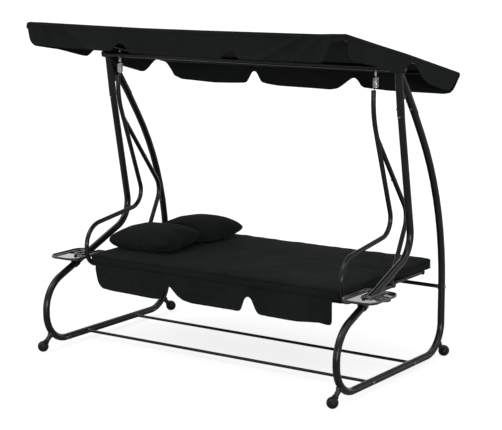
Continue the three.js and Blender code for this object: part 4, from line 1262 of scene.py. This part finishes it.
def mattress_shape():
    """A box cushion: two panels, a puffed side band between them and its seams pulled in."""
    inset = MATTRESS_INSET
    xs = np.linspace(-MATTRESS_X + inset, MATTRESS_X - inset, 190)
    ys = np.array(spaced(MATTRESS_FRONT + inset, MATTRESS_REAR - inset, 0.0085, [(0.15, 0.225)], 0.004))
    nx, ny = len(xs), len(ys)
    top = [mattress_point(x, y, 1) for y in ys for x in xs]
    bottom = [mattress_point(x, y, 0) for y in ys for x in xs]
    faces = grid_faces(ny, nx)
    base = len(top)
    faces += [[base + i for i in face[::-1]] for face in grid_faces(ny, nx)]

    def corner(x, y, start):
        angles = np.radians((start + 22.5, start + 45, start + 67.5))
        return [(x, y, (math.cos(a), math.sin(a))) for a in angles]

    loop = [(x, ys[0], (0, -1)) for x in xs] + corner(xs[-1], ys[0], -90)
    loop += [(xs[-1], y, (1, 0)) for y in ys] + corner(xs[-1], ys[-1], 0)
    loop += [(x, ys[-1], (0, 1)) for x in xs[::-1]] + corner(xs[0], ys[-1], 90)
    loop += [(xs[0], y, (-1, 0)) for y in ys[::-1]] + corner(xs[0], ys[0], 180)
    upper = grid_border(nx, ny, 3)
    lower = [base + i for i in upper]
    vertices = top + bottom
    band = [(0.975, 0.32), (0.935, 0.62), (0.885, 0.84), (0.82, 0.95), (0.80, 0.94), (0.75, 0.91),
            (0.67, 0.98), (0.52, 1.03), (0.36, 1.01), (0.25, 0.94), (0.18, 0.93), (0.14, 0.94),
            (0.09, 0.82), (0.04, 0.55), (0.01, 0.25)]
    previous = upper
    for level, out in band:
        start = len(vertices)
        for x, y, (dx, dy) in loop:
            px, py, z = mattress_point(x, y, level)
            along = x if abs(dy) > abs(dx) else y
            puff = 0.0016 * ripple(30 * along, 6 * level, 0, 24) + 0.0022 * ripple(5 * along, 0, 0, 25)
            reach = inset * out + puff
            vertices.append((px + dx * reach, py + dy * reach, z))
        row = list(range(start, len(vertices)))
        faces += band_faces(previous, row)
        previous = row
    faces += band_faces(previous, lower)
    return vertices, faces, loop


def piping_shape(loop, level, out, radius=0.0027):
    """A round cord sewn along the mattress's edge at that level."""
    centres = []
    for x, y, (dx, dy) in loop:
        px, py, z = mattress_point(x, y, level)
        centres.append(Vector((px + dx * MATTRESS_INSET * out, py + dy * MATTRESS_INSET * out, z)))
    rows, count = [], len(centres)
    for k, centre in enumerate(centres):
        along = (centres[(k + 1) % count] - centres[k - 1]).normalized()
        outward = along.cross(Z_AXIS).normalized()
        up = outward.cross(along)
        rows.append([centre + radius * (outward * math.cos(a) + up * math.sin(a)) for a in full_turn(8)])
    return rings(rows, loop=True)


def build_mattress():
    vertices, faces, loop = mattress_shape()
    made = mesh_object("mattress", (vertices, faces), CUSHION_CLOTH, None)
    finished(made, None, ("seat_cushion", "backrest_cushion"))
    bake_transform(made)
    cords = joined([piping_shape(loop, level, 0.97) for level in (0.80, SEAM_LEVEL)])
    piping = mesh_object("mattress_piping", cords, PIPING_CLOTH, None)
    finished(piping, None)
    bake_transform(piping)


def pillow_case(width, depth, squareness, section, cells=56):
    """Two panels sewn together, their corners rounded and their edges drawn in between the corners."""
    def point(i, j, side):
        u, v = 2 * i / cells - 1, 2 * j / cells - 1
        out = max(abs(u), abs(v))
        share = min(abs(u), abs(v)) / out if out else 0.0
        drawn_in = 0.035 * out ** 2 * (1 - share ** 2) ** 2
        reach = (1 + share ** squareness) ** (-1 / squareness) * (1 - drawn_in)
        puff = PILLOW_HEIGHT / 2 * (1 - out ** section[0]) ** section[1]
        return u * reach * width / 2, v * reach * depth / 2, side * puff
    vertices, index = [], {}
    for side in (1, -1):
        for j in range(cells + 1):
            for i in range(cells + 1):
                rim = i in (0, cells) or j in (0, cells)
                if side < 0 and rim:
                    index[(side, i, j)] = index[(1, i, j)]
                    continue
                index[(side, i, j)] = len(vertices)
                vertices.append(point(i, j, side))
    faces = []
    for side in (1, -1):
        for j in range(cells):
            for i in range(cells):
                corners = [index[(side, a, b)] for a, b in ((i, j), (i + 1, j), (i + 1, j + 1), (i, j + 1))]
                faces.append(corners if side > 0 else corners[::-1])
    return vertices, faces


def inflate(made, pressure, frames, tension=15.0):
    """Blows a closed case up as cloth, with gravity off, and keeps the result as its mesh."""
    scene = bpy.context.scene
    cloth_modifier = made.modifiers.new("inflate", "CLOTH")
    settings = cloth_modifier.settings
    settings.quality = 6
    settings.mass = 0.25
    settings.tension_stiffness = settings.compression_stiffness = tension
    settings.shear_stiffness = 6
    settings.bending_stiffness = 0.5
    settings.use_pressure = True
    settings.uniform_pressure_force = pressure
    settings.effector_weights.gravity = 0
    cloth_modifier.collision_settings.use_self_collision = False
    cloth_modifier.point_cache.frame_start, cloth_modifier.point_cache.frame_end = 1, frames
    for number in range(1, frames + 1):
        scene.frame_set(number)
    baked(made)
    scene.frame_set(1)
    return made


def settle_pillow(made, place, lean, twist, seed):
    """Lays a blown-up pillow on the mattress: turned a little, flat where it rests, wrinkled at its seam."""
    points = np.array([v.co for v in made.data.vertices])
    points[:, 2] *= PILLOW_HEIGHT / (points[:, 2].max() - points[:, 2].min())
    turn = np.array(Matrix.Rotation(twist, 3, "Z") @ Matrix.Rotation(lean, 3, "Y"))
    points = points @ turn.T
    reach = np.abs(points[:, :2]).max(0)
    rest = MATTRESS_HIGH + PILLOW_REST
    base = points[:, 2].min()
    for i, (x, y, z) in enumerate(points):
        edge = min(1.0, max(abs(x) / reach[0], abs(y) / reach[1]))
        low = z - base + rest - PILLOW_SINK
        press = rest + 0.0025 * ripple(14 * x, 14 * y, 0, seed)
        if low < press + PILLOW_SOFT:
            gap = low - (press + PILLOW_SOFT)
            low = press + PILLOW_SOFT * math.exp(gap / PILLOW_SOFT)
        around = math.atan2(y, x)
        pulls = 0.0030 * edge ** 5 * ripple(9 * math.cos(around), 9 * math.sin(around), 0, seed + 1)
        wave = pulls + 0.0030 * ripple(6 * x, 7 * y, 0, seed + 2)
        wave += 0.0012 * ripple(17 * x, 15 * y, 0, seed + 4)
        points[i] = (x + place[0], y + place[1], low + wave)
    made.data.vertices.foreach_set("co", points.ravel())
    made.data.update()


def build_pillow(name, node, twist, lean, seed):
    x, y, width, depth, squareness, section, body = PILLOWS[name]
    case = pillow_case(width, depth, squareness, section)
    pillow = mesh_object(f"cushion_{name}", case, CUSHION_CLOTH, None)
    inflate(pillow, 2.0, 16)
    settle_pillow(pillow, (x, y), lean, twist, seed)
    smooth = pillow.modifiers.new("smooth", "SUBSURF")
    smooth.levels = smooth.render_levels = 1
    baked(pillow)
    pillow.data.polygons.foreach_set("use_smooth", [True] * len(pillow.data.polygons))
    finished(pillow, body, (node,))


# ---- floor, light and camera --------------------------------------------------------------
WORLD_LIGHT = 0.36  # what the studio's walls shed on the object
BACKDROP_LIGHT = 1.45  # the white backdrop near the horizon
BACKDROP_FADE = (0.12, 0.34)  # the heights, as sines of elevation, between which it fades
WORLD_SEEN = 1.05  # how bright the world is to the eye
FLOOR_SIZE = 60.0
FLOOR_BOUNCE = 0.36  # what the floor sends back to the object
FLOOR_SEEN, FLOOR_GLOW = 0.20, 0.83  # to the eye it is lit from below as well, so shadows on it are faint


def build_floor():
    """A pale floor that throws little light up at the object."""
    bpy.ops.mesh.primitive_plane_add(size=FLOOR_SIZE, location=(0, 0, 0))
    floor = bpy.context.object
    floor.name = "studio_floor"
    finish = Finish("studio_floor", Roughness=0.9, Specular_IOR_Level=0.0)
    finish.shader.inputs["Emission Color"].default_value = (1, 1, 1, 1)
    seen = finish.node("LightPath").outputs["Is Camera Ray"]
    finish.colour(finish.blend_colours(seen, (FLOOR_BOUNCE,) * 3, (FLOOR_SEEN,) * 3))
    finish.tree.links.new(finish.times(seen, FLOOR_GLOW), finish.shader.inputs["Emission Strength"])
    floor.data.materials.append(finish.material)


def build_world():
    """Plain white to the eye; to the object, dim walls with a bright band round the horizon."""
    world = bpy.data.worlds.new("studio")
    bpy.context.scene.world = world
    world.use_nodes = True
    nodes, links = world.node_tree.nodes, world.node_tree.links

    def ranged(value, start, end, low, high):
        made = nodes.new("ShaderNodeMapRange")
        links.new(value, made.inputs["Value"])
        for socket, number in (("From Min", start), ("From Max", end), ("To Min", low), ("To Max", high)):
            if isinstance(number, bpy.types.NodeSocket):
                links.new(number, made.inputs[socket])
            else:
                made.inputs[socket].default_value = number
        return made.outputs["Result"]

    direction = nodes.new("ShaderNodeTexCoord").outputs["Generated"]
    height = nodes.new("ShaderNodeSeparateXYZ")
    links.new(direction, height.inputs["Vector"])
    walls = ranged(height.outputs["Z"], *BACKDROP_FADE, BACKDROP_LIGHT, WORLD_LIGHT)
    seen = nodes.new("ShaderNodeLightPath").outputs["Is Camera Ray"]
    strength = ranged(seen, 0.0, 1.0, walls, WORLD_SEEN)
    links.new(strength, nodes["Background"].inputs["Strength"])
    nodes["Background"].inputs["Color"].default_value = (1, 1, 1, 1)


def seen_from(azimuth, elevation):
    """The direction towards a viewer or lamp; azimuth 0 is in front of the bench, positive to its right."""
    level = math.cos(elevation)
    return Vector((math.sin(azimuth) * level, -math.cos(azimuth) * level, math.sin(elevation)))


def sun(name, azimuth, elevation, spread, strength):
    """A soft distant lamp, its angles in degrees."""
    data = bpy.data.lights.new(name, "SUN")
    data.energy, data.angle = strength, math.radians(spread)
    lamp = bpy.data.objects.new(name, data)
    back = seen_from(math.radians(azimuth), math.radians(elevation))
    lamp.rotation_mode = "QUATERNION"
    lamp.rotation_quaternion = back.to_track_quat("Z", "Y")
    bpy.context.scene.collection.objects.link(lamp)


LIGHTS = {  # azimuth, elevation, spread, strength
    "overhead": (0, 85, 110, 2.4),
    "key": (-30, 55, 16, 0.7),
    "fill": (80, 45, 16, 0.35),
    "strip": (45, 4, 7, 1.2),
}


def build_lights():
    for name, settings in LIGHTS.items():
        sun(name, *settings)


CAMERA_AZIMUTH, CAMERA_ELEVATION, CAMERA_ROLL = math.radians(34.6), math.radians(10.25), math.radians(-0.18)
CAMERA_DISTANCE, CAMERA_TARGET = 8.261, Vector((0.0496, 0.0166, 0.7697))
CAMERA_LENS, CAMERA_SENSOR = 110.6, 36.0


def build_camera():
    data = bpy.data.cameras.new("camera")
    data.lens, data.sensor_width = CAMERA_LENS, CAMERA_SENSOR
    camera = bpy.data.objects.new("camera", data)
    back = seen_from(CAMERA_AZIMUTH, CAMERA_ELEVATION)
    camera.location = CAMERA_TARGET + back * CAMERA_DISTANCE
    aim = (-back).to_track_quat("-Z", "Y").to_matrix() @ Matrix.Rotation(CAMERA_ROLL, 3, "Z")
    camera.rotation_mode = "QUATERNION"
    camera.rotation_quaternion = aim.to_quaternion()
    bpy.context.scene.collection.objects.link(camera)
    bpy.context.scene.camera = camera
    bpy.context.scene.view_settings.view_transform = "Standard"


build_camera()
build_floor()
build_world()
build_lights()
build_stand()
build_trays()
build_hangers()
build_seat_frame()
build_backrest_frame()
build_canopy()
build_sling("sling_seat", SEAT_RAILS_Y["front"], SEAT_RAILS_Y["rear"], "seat", "seat_sling")
build_sling("sling_back", BACK_RAILS_Y["lower"], BACK_RAILS_Y["top"], "backrest", "backrest_sling")
build_mattress()
build_skirt()
build_pillow("front", "pillow_front", math.radians(4), math.radians(-1.5), 30)
build_pillow("rear", "pillow_rear", math.radians(-6), 0.0, 40)
